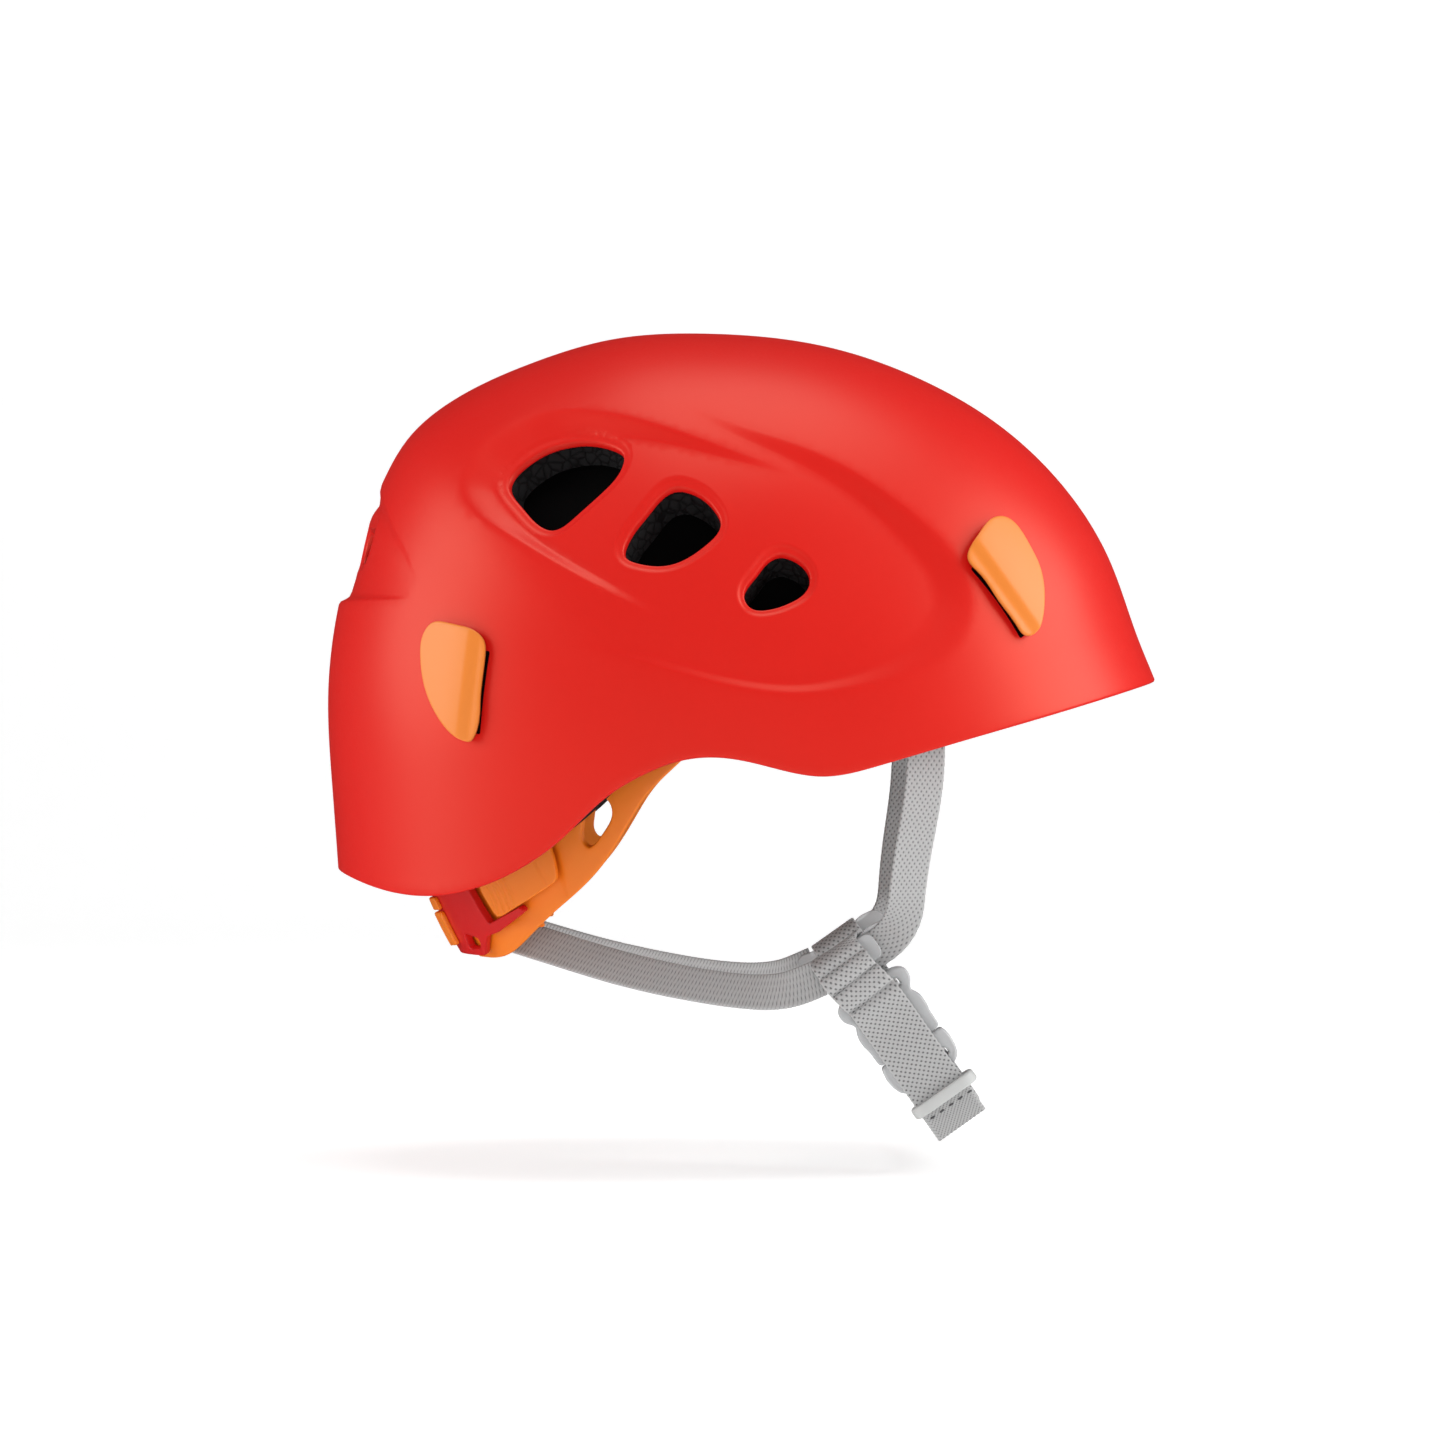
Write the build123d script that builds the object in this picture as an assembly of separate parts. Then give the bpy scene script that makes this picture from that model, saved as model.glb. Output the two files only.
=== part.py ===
from build123d import *
import math
import os

import numpy as np

# A child-size climbing helmet: hard shell, foam liner, pads, rear headband and chin harness.
# +X is the front, +Y the wearer's left, +Z up; the origin is the centre of the wearer's head.

# ---- overall sizes (mm) ----
SHELL_LENGTH = 250.0
SHELL_WIDTH = 200.0
SHELL_HEIGHT = 168.0

# ---- shell and liner ----
SHELL_WALL = 2.5
LINER_GAP = 0.3
LINER_THICKNESS = 16.0
LINER_RIM_RISE = 6.0
SIDE_POWER = 2.25
SIDE_CAP = 0.06
RIM_PLANE_TILT = 16.0
SCOOP_DEPTH = 3.5
SCOOP_HALF_WIDTH = 46.0
SCOOP_TOP, SCOOP_BOTTOM = 67.0, 35.0
REAR_VENT_LENGTH = 24.0
REAR_VENT_HEIGHT = 8.0
REAR_VENT_SPACING = 34.0
REAR_VENT_RISE = 54.0
REAR_VENT_START = 80.0

# ---- headlamp clips ----
CLIP_HEIGHT = 4.0
CLIP_GAP = 1.8

# ---- pads ----
PAD_GAP = 0.4
PAD_THICKNESS = 5.0
CROWN_PAD_PLACE = (-5.0, 20.0)
CROWN_PAD_SIZE = (74.0, 46.0)
CROWN_PAD_CORNER = 12.0
BROW_PAD_PLACE = (40.0, 33.0)
BROW_PAD_SIZE = (86.0, 20.0)
BROW_PAD_CORNER = 9.0
SIDE_PAD = [(20, 16), (40, 14), (60, 17), (63, 26), (58, 34), (40, 37), (22, 34), (17, 26)]

# ---- headband ----
ARM_THICKNESS = 2.4
CRADLE_END_CLEARANCE = 6.2
CRADLE_SIDE_CLEARANCE = 7.2
CRADLE_HEIGHT = 117.0
BAND_HALF_WIDTH = 60.0
ARM_END_GAP = 28.0
PIVOT_RADIUS = 3.5
PIVOT_CLEARANCE = 0.06
PIVOT_HEAD_RADIUS = 6.5
PIVOT_HEAD_THICKNESS = 1.6
PIVOT_DEPTH = 7.0
PIVOT_INSET = 3.0
PIVOT_SHAFT_EXTRA = 2.5
CARRIAGE_GAP = 0.5
CARRIAGE_THICKNESS = 2.4
COVER_THICKNESS = 1.4
COVER_WIDTH = 34.0
STRIP_THICKNESS = 1.2
STRIP_GAP = 0.4
STRIP_WIDTH = 9.0
STRIP_RISE = -57.0
STRIP_ENDS = (-105.0, -64.0)
NAPE_PAD_THICKNESS = 4.5
NAPE_PAD_WIDTH = 22.0
NAPE_PAD = [(-105, -66), (-70, -66), (-70, -52.5), (-105, -52.5)]
LATCH_GAP = 1.4
LATCH_THICKNESS = 1.8

# ---- webbing ----
THIN_WEB_WIDTH = 11.0
THIN_WEB_THICKNESS = 1.2
WIDE_WEB_WIDTH = 16.0
WIDE_WEB_THICKNESS = 1.4
ANCHOR_LENGTH = 15.0
ANCHOR_HEIGHT = 11.0
ANCHOR_THICKNESS = 3.0
ANCHOR_STUD_RADIUS = 3.0
ANCHOR_STUD_LENGTH = 13.0
ANCHOR_GAP = 0.4
ANCHOR_CORNER = 2.0

# ---- chin harness ----
GUIDE_LENGTH = 26.0
GUIDE_WIDTH = 11.0
GUIDE_PLATE = 1.2
GUIDE_GAP = 2.4
GUIDE_POST_RADIUS = 1.6
GUIDE_POST_OVERLAP = 0.2
GUIDE_CORNER = 3.0
FOLD_CLEARANCE = 1.2
FOLD_BEND = [(3.0, 0.0), (0.6, 0.8), (-0.6, 2.6)]
LOOP_OVERLAP = 1.0
TAIL_START = 9.0
TAIL_CLEARANCE = 0.9
LEFT_LOOP_STEPS = (3.0, 14.0, 22.0)
BUCKLE_WIDTH = 23.0
BUCKLE_THICKNESS = 8.0
BUCKLE_START = 17.0
BUCKLE_SPLIT = 39.5
BUCKLE_END = 50.5
BUCKLE_WALL = 2.2
BUCKLE_PLAY = 0.4
BUCKLE_SLOT = 3.0
BUCKLE_BAR = 2.4
BUCKLE_CORNER = 2.5
SPLIT_GAP = 0.3
MOUTH_EXTRA = 1.0
WINDOW_ENDS = (3.0, 4.0)
PRONG_ROOM = 2.0
PRONG_ROOT = 4.0
PRONG_LENGTH = 13.0
PRONG_WIDTH = 2.6
RING_PLACE = 56.5
RING_THICKNESS = 3.0
RING_WALL = 1.8
RING_CORNER = 1.5
RING_PLAY = 0.8
TAIL_END = 67.0
CHIN_DEPTH = 66.0
CHIN_TURN_START = 58.5
CHIN_TURN_POWER = 3.0
CHIN_TURN_STEPS = 17
LEFT_JOIN = 31.0

# ---- shape of the helmet in side view, for a shell 250 long, 200 wide and 168 high ----
FX, FY, FZ = SHELL_LENGTH / 250.0, SHELL_WIDTH / 200.0, SHELL_HEIGHT / 168.0
HUB = (4.6 * FX, -28.0 * FZ)
INSIDE_LINER = SHELL_WALL + LINER_GAP + LINER_THICKNESS
CRADLE_REACH = (SHELL_LENGTH / 2 - INSIDE_LINER - CRADLE_END_CLEARANCE,
                SHELL_WIDTH / 2 - INSIDE_LINER - CRADLE_SIDE_CLEARANCE, CRADLE_HEIGHT * FZ)
PROFILE = [(128.5, 0), (126, 6.5), (124.1, 11.5), (118.9, 24.3), (110.1, 48.5), (94.4, 72.8),
           (74.3, 91), (52.8, 103.2), (26, 112.6), (-12.1, 116.9), (-40, 115.2), (-65, 107.8),
           (-87.7, 97.1), (-102.2, 84.8), (-110.5, 70), (-118.5, 51), (-123.8, 30.3), (-126.1, 8),
           (-125, -18.2), (-123.2, -42.5), (-122.3, -58), (-122, -72)]
RIM = [(-135, -41), (-121.5, -45.6), (-106, -50.2), (-92, -51.3), (-79.8, -49.1), (-66, -43),
       (-53.4, -33.8), (-41.9, -22.9), (-30.4, -15.7), (-17, -11), (-5, -10.8), (9.5, -14),
       (22, -16), (38, -13), (60, -6.6), (90, 1.9), (123, 11.5), (137, 15.5)]
SIDE_VENTS = [
    [(-69, 69.5), (-63, 76.8), (-52.3, 81.2), (-40.3, 80.1), (-36.6, 76), (-42.2, 67.6),
     (-50.4, 60.1), (-57.5, 56.5), (-65.3, 63.3)],
    [(-19, 67.7), (-9.2, 60.3), (-8.5, 56.5), (-13, 51), (-22.9, 45.9), (-31.1, 46.4),
     (-34.9, 49.5), (-28.5, 60.4)],
    [(11.5, 47.6), (17.8, 41.5), (15.5, 37), (5.9, 32.9), (0.4, 34), (0.6, 38), (5.6, 44.8)],
]
REAR_CLIP = [(-94.9, 18.6), (-93.5, 26.2), (-89, 29), (-82.5, 27.1), (-76.8, 24.8), (-75.5, 20),
             (-76.8, 6.6), (-78, -3), (-80.2, -6.2), (-83, -5), (-88.5, 0.5), (-93.4, 9.9)]
REAR_CLIP_SLOT = [(-86, -12), (-68, -12), (-68, 34), (-86, 34)]
FRONT_CLIP = [(64.2, 47.3), (67.5, 54.2), (71.5, 58.6), (75.5, 59.4), (79.8, 56.1), (84, 48),
              (86.4, 38), (85, 28), (82, 24.2), (79, 26.4), (72.8, 35.1), (67.5, 42.6)]
FRONT_CLIP_SLOT = [(58, 54), (82, 18), (91.5, 24.5), (67.5, 60.5)]

# ---- shape of the headband in side view ----
PIVOT = (4.5 * FX, 8.6 * FZ)
ARM = [(10.5, 16), (-2, 19.5), (-22, 12), (-44, -6), (-60, -24), (-74, -38), (-81, -46),
       (-79, -54), (-76.5, -61), (-88, -65), (-88, -70), (-80, -71.5), (-72.5, -71),
       (-66.2, -66.3), (-58.8, -58.8), (-49.6, -50.6), (-42, -42.3), (-34.3, -30.2),
       (-28.8, -21.7), (-19, -11.9), (-8, -3.5), (8, -0.5), (14, 7)]
ARM_HOLE = [(-45.5, -21.5), (-41.5, -23.2), (-39, -27), (-40.5, -31), (-43.4, -35.2), (-46.3, -37.2),
            (-48, -33.5)]
LATCH = [(-73.5, -58.8), (-55.4, -47.2), (-58.5, -35), (-81, -44)]
CARRIAGE = [(-105, -50), (-82.5, -50), (-76.2, -60.6), (-66.6, -55.1), (-65.2, -56.7),
            (-73.3, -63), (-77, -64.5), (-77.8, -70.5), (-105, -70.5)]
COVER = [(-105, -53.5), (-80, -53.5), (-80, -68), (-105, -68)]

# ---- harness routes: (x, y, z) of the right-hand straps ----
JUNCTION = (30.7 * FX, -45.0 * FY, -71.0 * FZ)
CHIN_POINT = (57.4, -110.4)
FLAP_TOP = (24.8, -64.2)
FRONT_ROUTE = [(52.2, -71, -4.5), (52.2, -70, -12), (50.8, -64, -27), (48.8, -58, -39.5),
               (47.4, -51.2, -51.5), (45.8, -46.4, -59.5), (42.4, -45, -64.4), (36, -45, -68.9)]
REAR_ROUTE = [(22, -45, -76), (12.5, -44.6, -79.6), (1.3, -41, -80.4), (-16.2, -37, -78.3),
              (-31, -32, -75.4), (-46, -26, -71.6), (-62, -20.5, -66.8), (-76, -15, -62.6)]
REAR_TILT = [0, 12, 25, 30, 30, 30, 28, 25]

W_AXIS = Vector(CHIN_POINT[0] - FLAP_TOP[0], 0, CHIN_POINT[1] - FLAP_TOP[1]).normalized()
U_AXIS = Vector(-W_AXIS.Z, 0, W_AXIS.X)
JUNCTION_PLACE = 8.6
CHIN_HALF = 46.0 * FY
CHIN_ORIGIN = Vector(JUNCTION[0], 0, JUNCTION[2]) - W_AXIS * JUNCTION_PLACE
CHIN_PLANE = Plane(origin=CHIN_ORIGIN, x_dir=U_AXIS, z_dir=Vector(0, -1, 0))
FAR = 160.0


def cubic_curve(points, count):
    """Points along a natural cubic spline through the given points."""
    knots = np.array(points, float)
    spans = np.linalg.norm(np.diff(knots, axis=0), axis=1)
    place = np.concatenate([[0.0], np.cumsum(spans)])
    size = len(knots)
    matrix, right = np.eye(size), np.zeros((size, 2))
    for i in range(1, size - 1):
        before, after = spans[i - 1], spans[i]
        matrix[i, i - 1:i + 2] = before, 2 * (before + after), after
        right[i] = 6 * ((knots[i + 1] - knots[i]) / after - (knots[i] - knots[i - 1]) / before)
    bend = np.linalg.solve(matrix, right)
    along = np.linspace(0, place[-1], count)
    k = np.clip(np.searchsorted(place, along) - 1, 0, size - 2)
    span = spans[k][:, None]
    low = (along - place[k])[:, None] / span
    high = 1 - low
    curve = high * knots[k] + low * knots[k + 1]
    return curve + ((high ** 3 - high) * bend[k] + (low ** 3 - low) * bend[k + 1]) * span ** 2 / 6


def scaled(points):
    return [(x * FX, z * FZ) for x, z in points]


def placed(points):
    return [Vector(x * FX, y * FY, z * FZ) for x, y, z in points]


def profile_reach(inset):
    """Angle about the hub and distance from it of the centre profile moved inwards by inset."""
    curve = cubic_curve(scaled(PROFILE), 1200)
    along = np.gradient(curve, axis=0)
    along /= np.linalg.norm(along, axis=1)[:, None]
    inwards = np.stack([-along[:, 1], along[:, 0]], axis=1)
    moved = curve + inset * inwards - np.array(HUB)
    angle = np.arctan2(moved[:, 1], moved[:, 0])
    angle = np.where(angle < -math.pi / 2, angle + 2 * math.pi, angle)
    order = np.argsort(angle)
    return angle[order], np.hypot(moved[:, 0], moved[:, 1])[order]


def scoop_inset(height, across):
    """How far the rear recess lies under the plain dome."""
    if not SCOOP_BOTTOM * FZ < height < SCOOP_TOP * FZ or abs(across) > SCOOP_HALF_WIDTH * FY:
        return 0.0
    up = (height / FZ - SCOOP_BOTTOM) / (SCOOP_TOP - SCOOP_BOTTOM)
    side = math.cos(0.5 * math.pi * across / (SCOOP_HALF_WIDTH * FY)) ** 2
    return SCOOP_DEPTH * math.sin(math.pi * up ** 0.8) ** 2 * min(1.0, 1.6 * side)


def dome(inset, scooped=True, rows=84, columns=41):
    """Closed dome inset from the outside of the shell, reaching a little below its rim."""
    angles, reach = profile_reach(inset)
    half_width = SHELL_WIDTH / 2 - inset
    start = math.radians(RIM_PLANE_TILT)
    side_limit = math.asin((1 - SIDE_CAP ** SIDE_POWER) ** (1 / SIDE_POWER))
    grid = []
    for angle in np.linspace(start, start + math.pi, rows):
        row = []
        for turn in np.linspace(-side_limit, side_limit, columns):
            across = math.sin(turn)
            shrink = (1 - abs(across) ** SIDE_POWER) ** (1 / SIDE_POWER)
            distance = np.interp(angle, angles, reach) * shrink
            height = HUB[1] + distance * math.sin(angle)
            if scooped and angle > math.pi / 2:
                distance -= scoop_inset(height, across * half_width)
            row.append((HUB[0] + distance * math.cos(angle), across * half_width,
                        HUB[1] + distance * math.sin(angle)))
        grid.append(row)
    skin = Face.make_surface_from_array_of_points(grid, tol=0.03)
    corners = {key: Vector(*grid[key[0]][key[1]]) for key in [(0, 0), (0, -1), (-1, 0), (-1, -1)]}

    def edge_between(first, second):
        ends = (corners[first], corners[second])
        return min(skin.edges(), key=lambda edge: sum(
            min((edge @ 0 - end).length, (edge @ 1 - end).length) for end in ends))

    left_line = Edge.make_line(corners[0, 0], corners[-1, 0])
    right_line = Edge.make_line(corners[0, -1], corners[-1, -1])
    caps = [Face(Wire([edge_between((0, 0), (-1, 0)), left_line])),
            Face(Wire([edge_between((0, -1), (-1, -1)), right_line])),
            Face(Wire([edge_between((0, 0), (0, -1)), right_line,
                       edge_between((-1, 0), (-1, -1)), left_line]))]
    return Solid(Shell([skin] + caps))


def side_face(points, y, smooth=True):
    """Flat face in the plane of constant y, facing -Y."""
    outline = scaled(points)
    edge = Spline(*outline, periodic=True) if smooth else Polyline(*outline, close=True)
    plane = Plane(origin=(0, y, 0), x_dir=(1, 0, 0), z_dir=(0, -1, 0))
    return plane * make_face(edge)


def right_prism(points, smooth=True, inner=12.0):
    """Outline in side view, extruded over the helmet's right-hand side."""
    return extrude(side_face(points, -inner, smooth), amount=FAR)


def left_copy(part):
    return mirror(part, about=Plane.XZ)


def above_rim(rise):
    """Everything above the rim line, lifted by rise."""
    line = Spline(*scaled(RIM))
    first, last = line @ 0, line @ 1
    sides = Polyline((last.X, last.Y), (last.X, FAR), (first.X, FAR), (first.X, first.Y))
    plane = Plane(origin=(0, FAR, rise), x_dir=(1, 0, 0), z_dir=(0, -1, 0))
    return extrude(plane * make_face([line, sides]), amount=2 * FAR)


def layer(outer, inner, region):
    """Part of the space between two domes that lies in the region."""
    return (dome(outer) & region) - dome(inner)


def rear_vent(side):
    """Slot through the back of the helmet, in the floor of the recess."""
    plane = Plane(origin=(-FAR * FX, 0, 0), x_dir=(0, 1, 0), z_dir=(1, 0, 0))
    slot = SlotOverall(REAR_VENT_LENGTH * FY, REAR_VENT_HEIGHT * FZ)
    centre = Pos(side * REAR_VENT_SPACING * FY / 2, REAR_VENT_RISE * FZ, 0)
    return extrude(plane * (centre * slot), amount=(FAR - REAR_VENT_START) * FX)


def vents():
    """All ventilation openings, as solids to cut away."""
    right = [right_prism(outline) for outline in SIDE_VENTS]
    return right + [left_copy(part) for part in right] + [rear_vent(-1), rear_vent(1)]


def pivot_pin():
    """Headed pin that carries the right headband arm, seated in the liner."""
    head = Pos(0, 0, -PIVOT_HEAD_THICKNESS) * Cylinder(
        PIVOT_HEAD_RADIUS, PIVOT_HEAD_THICKNESS, align=(Align.CENTER, Align.CENTER, Align.MIN))
    shaft = Cylinder(PIVOT_RADIUS, PIVOT_DEPTH + ARM_THICKNESS + PIVOT_SHAFT_EXTRA,
                     align=(Align.CENTER, Align.CENTER, Align.MIN))
    plane = Plane(origin=(PIVOT[0], PIVOT_INSET - CRADLE_REACH[1], PIVOT[1]), x_dir=(1, 0, 0),
                  z_dir=(0, -1, 0))
    return plane * (head + shaft)


def strap_anchor():
    """Plate with a stud that holds the top of the right front strap to the liner."""
    top = placed(FRONT_ROUTE)[0]
    middle = top + Vector(0, 0, ANCHOR_GAP + ANCHOR_HEIGHT / 2)
    base = Pos(middle) * Box(ANCHOR_LENGTH, ANCHOR_THICKNESS, ANCHOR_HEIGHT)
    base = fillet(base.edges().filter_by(Axis.Y), ANCHOR_CORNER)
    stud = Cylinder(ANCHOR_STUD_RADIUS, ANCHOR_STUD_LENGTH,
                    align=(Align.CENTER, Align.CENTER, Align.MIN))
    return base + Plane(origin=middle, x_dir=(1, 0, 0), z_dir=(0, -1, 0)) * stud


def shell_and_liner(pin, anchor):
    """Hard outer shell and the foam liner inside it."""
    liner_outer = SHELL_WALL + LINER_GAP
    shell = (dome(0.0) & above_rim(0.0)) - dome(SHELL_WALL)
    liner = (dome(liner_outer) & above_rim(LINER_RIM_RISE)) - dome(
        liner_outer + LINER_THICKNESS, scooped=False)
    for cut in vents():
        shell -= cut
        liner -= cut
    for seat in (pin, left_copy(pin), anchor, left_copy(anchor)):
        liner -= seat
    return largest(shell), largest(liner)


def largest(part):
    return max(part.solids(), key=lambda solid: solid.volume)


def clip(outline, slot):
    """Headlamp clip: a pad on the shell with an open slot under its inner edge."""
    pad = layer(-CLIP_HEIGHT, 0.0, right_prism(outline))
    undercut = dome(-CLIP_GAP) & right_prism(slot, smooth=False)
    return largest(pad - undercut)


def pads():
    """Comfort pads on the inside of the liner."""
    outer = INSIDE_LINER + PAD_GAP
    inner = outer + PAD_THICKNESS
    crown_shape = RectangleRounded(CROWN_PAD_SIZE[0] * FX, CROWN_PAD_SIZE[1] * FY, CROWN_PAD_CORNER)
    crown_region = extrude(Pos(CROWN_PAD_PLACE[0] * FX, 0, CROWN_PAD_PLACE[1]) * crown_shape, amount=FAR)
    plane = Plane(origin=(BROW_PAD_PLACE[0], 0, 0), x_dir=(0, 1, 0), z_dir=(1, 0, 0))
    brow_shape = RectangleRounded(BROW_PAD_SIZE[0] * FY, BROW_PAD_SIZE[1] * FZ, BROW_PAD_CORNER)
    brow_region = extrude(plane * (Pos(0, BROW_PAD_PLACE[1] * FZ, 0) * brow_shape), amount=FAR)
    side_region = right_prism(SIDE_PAD)
    outer_dome, inner_dome = dome(outer, scooped=False), dome(inner, scooped=False)
    regions = {"crown_pad": crown_region, "brow_pad": brow_region, "side_pad_right": side_region}
    made = {name: largest((outer_dome & region) - inner_dome) for name, region in regions.items()}
    made["side_pad_left"] = left_copy(made["side_pad_right"])
    return made


def head_form(offset):
    """Ellipsoid that the headband follows, grown by offset."""
    return scale(Sphere(1.0), by=tuple(reach + offset for reach in CRADLE_REACH))


def band(inner, outer, region):
    """Part of the space between two head forms that lies in the region."""
    return (head_form(outer) & region) - head_form(inner)


def wide_prism(points, half_width, smooth=False):
    """Outline in side view, extruded from the right to the left by half_width each way."""
    return extrude(side_face(points, half_width, smooth), amount=2 * half_width)


def cradle_arm():
    """Right arm of the headband, from its pivot to the nape."""
    region = right_prism(ARM, inner=ARM_END_GAP / 2) - right_prism(ARM_HOLE)
    arm = largest(band(0.0, ARM_THICKNESS, region))
    hole = Cylinder(PIVOT_RADIUS + PIVOT_CLEARANCE, 2 * FAR)
    return largest(arm - Pos(PIVOT[0], 0, PIVOT[1]) * Rot(90, 0, 0) * hole)


def latch():
    """Ridged tab over the right arm that is pressed to free the nape carriage."""
    low = ARM_THICKNESS + LATCH_GAP
    return largest(band(low, low + LATCH_THICKNESS, right_prism(LATCH, smooth=False)))


def nape_parts():
    """Carriage, cover, toothed strip and pad at the back of the neck."""
    inner = ARM_THICKNESS + CARRIAGE_GAP
    outer = inner + CARRIAGE_THICKNESS
    behind = Box(FAR, 2 * FAR, 2 * FAR, align=(Align.MAX, Align.CENTER, Align.CENTER))
    strip_height = (STRIP_RISE - STRIP_WIDTH / 2, STRIP_RISE + STRIP_WIDTH / 2)
    strip_outline = [(x, z) for x in STRIP_ENDS for z in strip_height]
    strip_outline[2:] = reversed(strip_outline[2:])
    return {
        "nape_carriage": largest(band(inner, outer, wide_prism(CARRIAGE, BAND_HALF_WIDTH * FY) & behind)),
        "nape_cover": largest(band(outer, outer + COVER_THICKNESS,
                                   wide_prism(COVER, COVER_WIDTH / 2) & behind)),
        "adjuster_strip": largest(band(-STRIP_GAP - STRIP_THICKNESS, -STRIP_GAP,
                                       wide_prism(strip_outline, BAND_HALF_WIDTH * FY) & behind)),
        "nape_pad": largest(band(-STRIP_GAP * 2 - STRIP_THICKNESS - NAPE_PAD_THICKNESS,
                                 -STRIP_GAP * 2 - STRIP_THICKNESS,
                                 wide_prism(NAPE_PAD, NAPE_PAD_WIDTH / 2) & behind)),
    }


def ribbon(stations, across, width, thickness):
    """Flat strap through the stations; across gives its width direction at each one."""
    sections = []
    for i, point in enumerate(stations):
        before = stations[max(i - 1, 0)]
        after = stations[min(i + 1, len(stations) - 1)]
        along = (after - before).normalized()
        flat = (across[i] - along * across[i].dot(along)).normalized()
        normal = along.cross(flat)
        half, thin = flat * (width / 2), normal * (thickness / 2)
        corners = [point + half + thin, point - half + thin, point - half - thin,
                   point + half - thin]
        sections.append(Face(Wire.make_polygon(corners, close=True)))
    return Solid.make_loft([face.outer_wire() for face in sections], ruled=True)


def front_strap():
    across = [Vector(1, 0, 0.1)] * 3 + [Vector(1, 0, 0.25)] * 2
    across += [Vector(0.9, 0, -0.25), W_AXIS, W_AXIS]
    return ribbon(placed(FRONT_ROUTE), across, THIN_WEB_WIDTH, THIN_WEB_THICKNESS)


def rear_strap():
    tilts = [math.radians(tilt) for tilt in REAR_TILT]
    across = [Vector(0, math.sin(tilt), math.cos(tilt)) for tilt in tilts]
    across[0] = Vector(-0.35, 0, 0.94)
    return ribbon(placed(REAR_ROUTE), across, THIN_WEB_WIDTH, THIN_WEB_THICKNESS)


def chin_points(route):
    """Points of a chin strap from (distance down the strap, y)."""
    return [CHIN_ORIGIN + W_AXIS * down + Vector(0, y, 0) for down, y in route]


def chin_ribbon(route):
    stations = chin_points(route)
    return ribbon(stations, [U_AXIS] * len(stations), WIDE_WEB_WIDTH, WIDE_WEB_THICKNESS)


def loop_route(side, end):
    """Webbing folded over the strap guide, then down its outer face to end."""
    clear = GUIDE_GAP / 2 + GUIDE_PLATE + WIDE_WEB_THICKNESS + FOLD_CLEARANCE
    centre = JUNCTION[1] * -side
    inner, outer = centre - side * clear, centre + side * clear
    fold = [(BUCKLE_START + LOOP_OVERLAP, inner)]
    fold += [(down, inner + side * rise) for down, rise in FOLD_BEND]
    fold += [(down, outer - side * rise) for down, rise in reversed(FOLD_BEND[1:])]
    return fold + end(outer)


def strap_guide():
    """Moulded guide at the right Y of the harness: two plates and the post between them."""
    plate = RectangleRounded(GUIDE_LENGTH, GUIDE_WIDTH, GUIDE_CORNER)
    half = GUIDE_GAP / 2
    low = Pos(0, 0, -half - GUIDE_PLATE) * extrude(plate, amount=GUIDE_PLATE)
    high = Pos(0, 0, half) * extrude(plate, amount=GUIDE_PLATE)
    post = Cylinder(GUIDE_POST_RADIUS, GUIDE_GAP + GUIDE_POST_OVERLAP)
    plane = Plane(origin=JUNCTION, x_dir=U_AXIS, z_dir=Vector(0, -1, 0))
    return plane * (low + high + post)


def chin_box(across, down, depth):
    """Box from ranges across the strap, down it, and of depth outwards from the middle plane."""
    size = [high - low for low, high in (across, down, depth)]
    box = Box(*size, align=(Align.MIN, Align.MAX, Align.MIN))
    return Pos(across[0], -down[0], depth[0]) * box


def buckle_female():
    """Socket half of the side-release buckle."""
    half, thick = BUCKLE_WIDTH / 2, BUCKLE_THICKNESS / 2
    body = chin_box((-half, half), (BUCKLE_START, BUCKLE_SPLIT), (-thick, thick))
    body = fillet(body.edges().filter_by(Axis.Z), BUCKLE_CORNER)
    web = WIDE_WEB_WIDTH / 2 + BUCKLE_PLAY
    slot_start = BUCKLE_START + BUCKLE_BAR
    slot = chin_box((-web, web), (slot_start, slot_start + BUCKLE_SLOT), (-FAR, FAR))
    inside = half - BUCKLE_WALL
    mouth_start = BUCKLE_SPLIT - PRONG_LENGTH - PRONG_ROOM
    mouth = chin_box((-inside, inside), (mouth_start, BUCKLE_SPLIT + MOUTH_EXTRA),
                     (-thick + BUCKLE_WALL, thick - BUCKLE_WALL))
    window = chin_box((-FAR, FAR), (mouth_start + WINDOW_ENDS[0], BUCKLE_SPLIT - WINDOW_ENDS[1]),
                      (-thick + BUCKLE_WALL, thick - BUCKLE_WALL))
    return chin_plane_part(body - slot - mouth - window)


def buckle_male():
    """Plug half of the side-release buckle, with its two sprung prongs."""
    half, thick = BUCKLE_WIDTH / 2, BUCKLE_THICKNESS / 2
    base = chin_box((-half, half), (BUCKLE_SPLIT + SPLIT_GAP, BUCKLE_END), (-thick, thick))
    base = fillet(base.edges().filter_by(Axis.Z), BUCKLE_CORNER)
    reach = half - BUCKLE_WALL - BUCKLE_PLAY
    depth = thick - BUCKLE_WALL - BUCKLE_PLAY
    down = (BUCKLE_SPLIT - PRONG_LENGTH, BUCKLE_SPLIT + PRONG_ROOT)
    for low in (-reach, -PRONG_WIDTH / 2, reach - PRONG_WIDTH):
        base += chin_box((low, low + PRONG_WIDTH), down, (-depth, depth))
    return chin_plane_part(base)


def chin_plane_part(part):
    """Moves a part drawn about the chin plane to the right-hand strap."""
    return CHIN_PLANE * (Pos(0, 0, CHIN_HALF) * part)


def tail_depth():
    """Distance of the outer webbing from the middle plane of the buckle."""
    return BUCKLE_THICKNESS / 2 + WIDE_WEB_THICKNESS / 2 + TAIL_CLEARANCE


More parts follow.
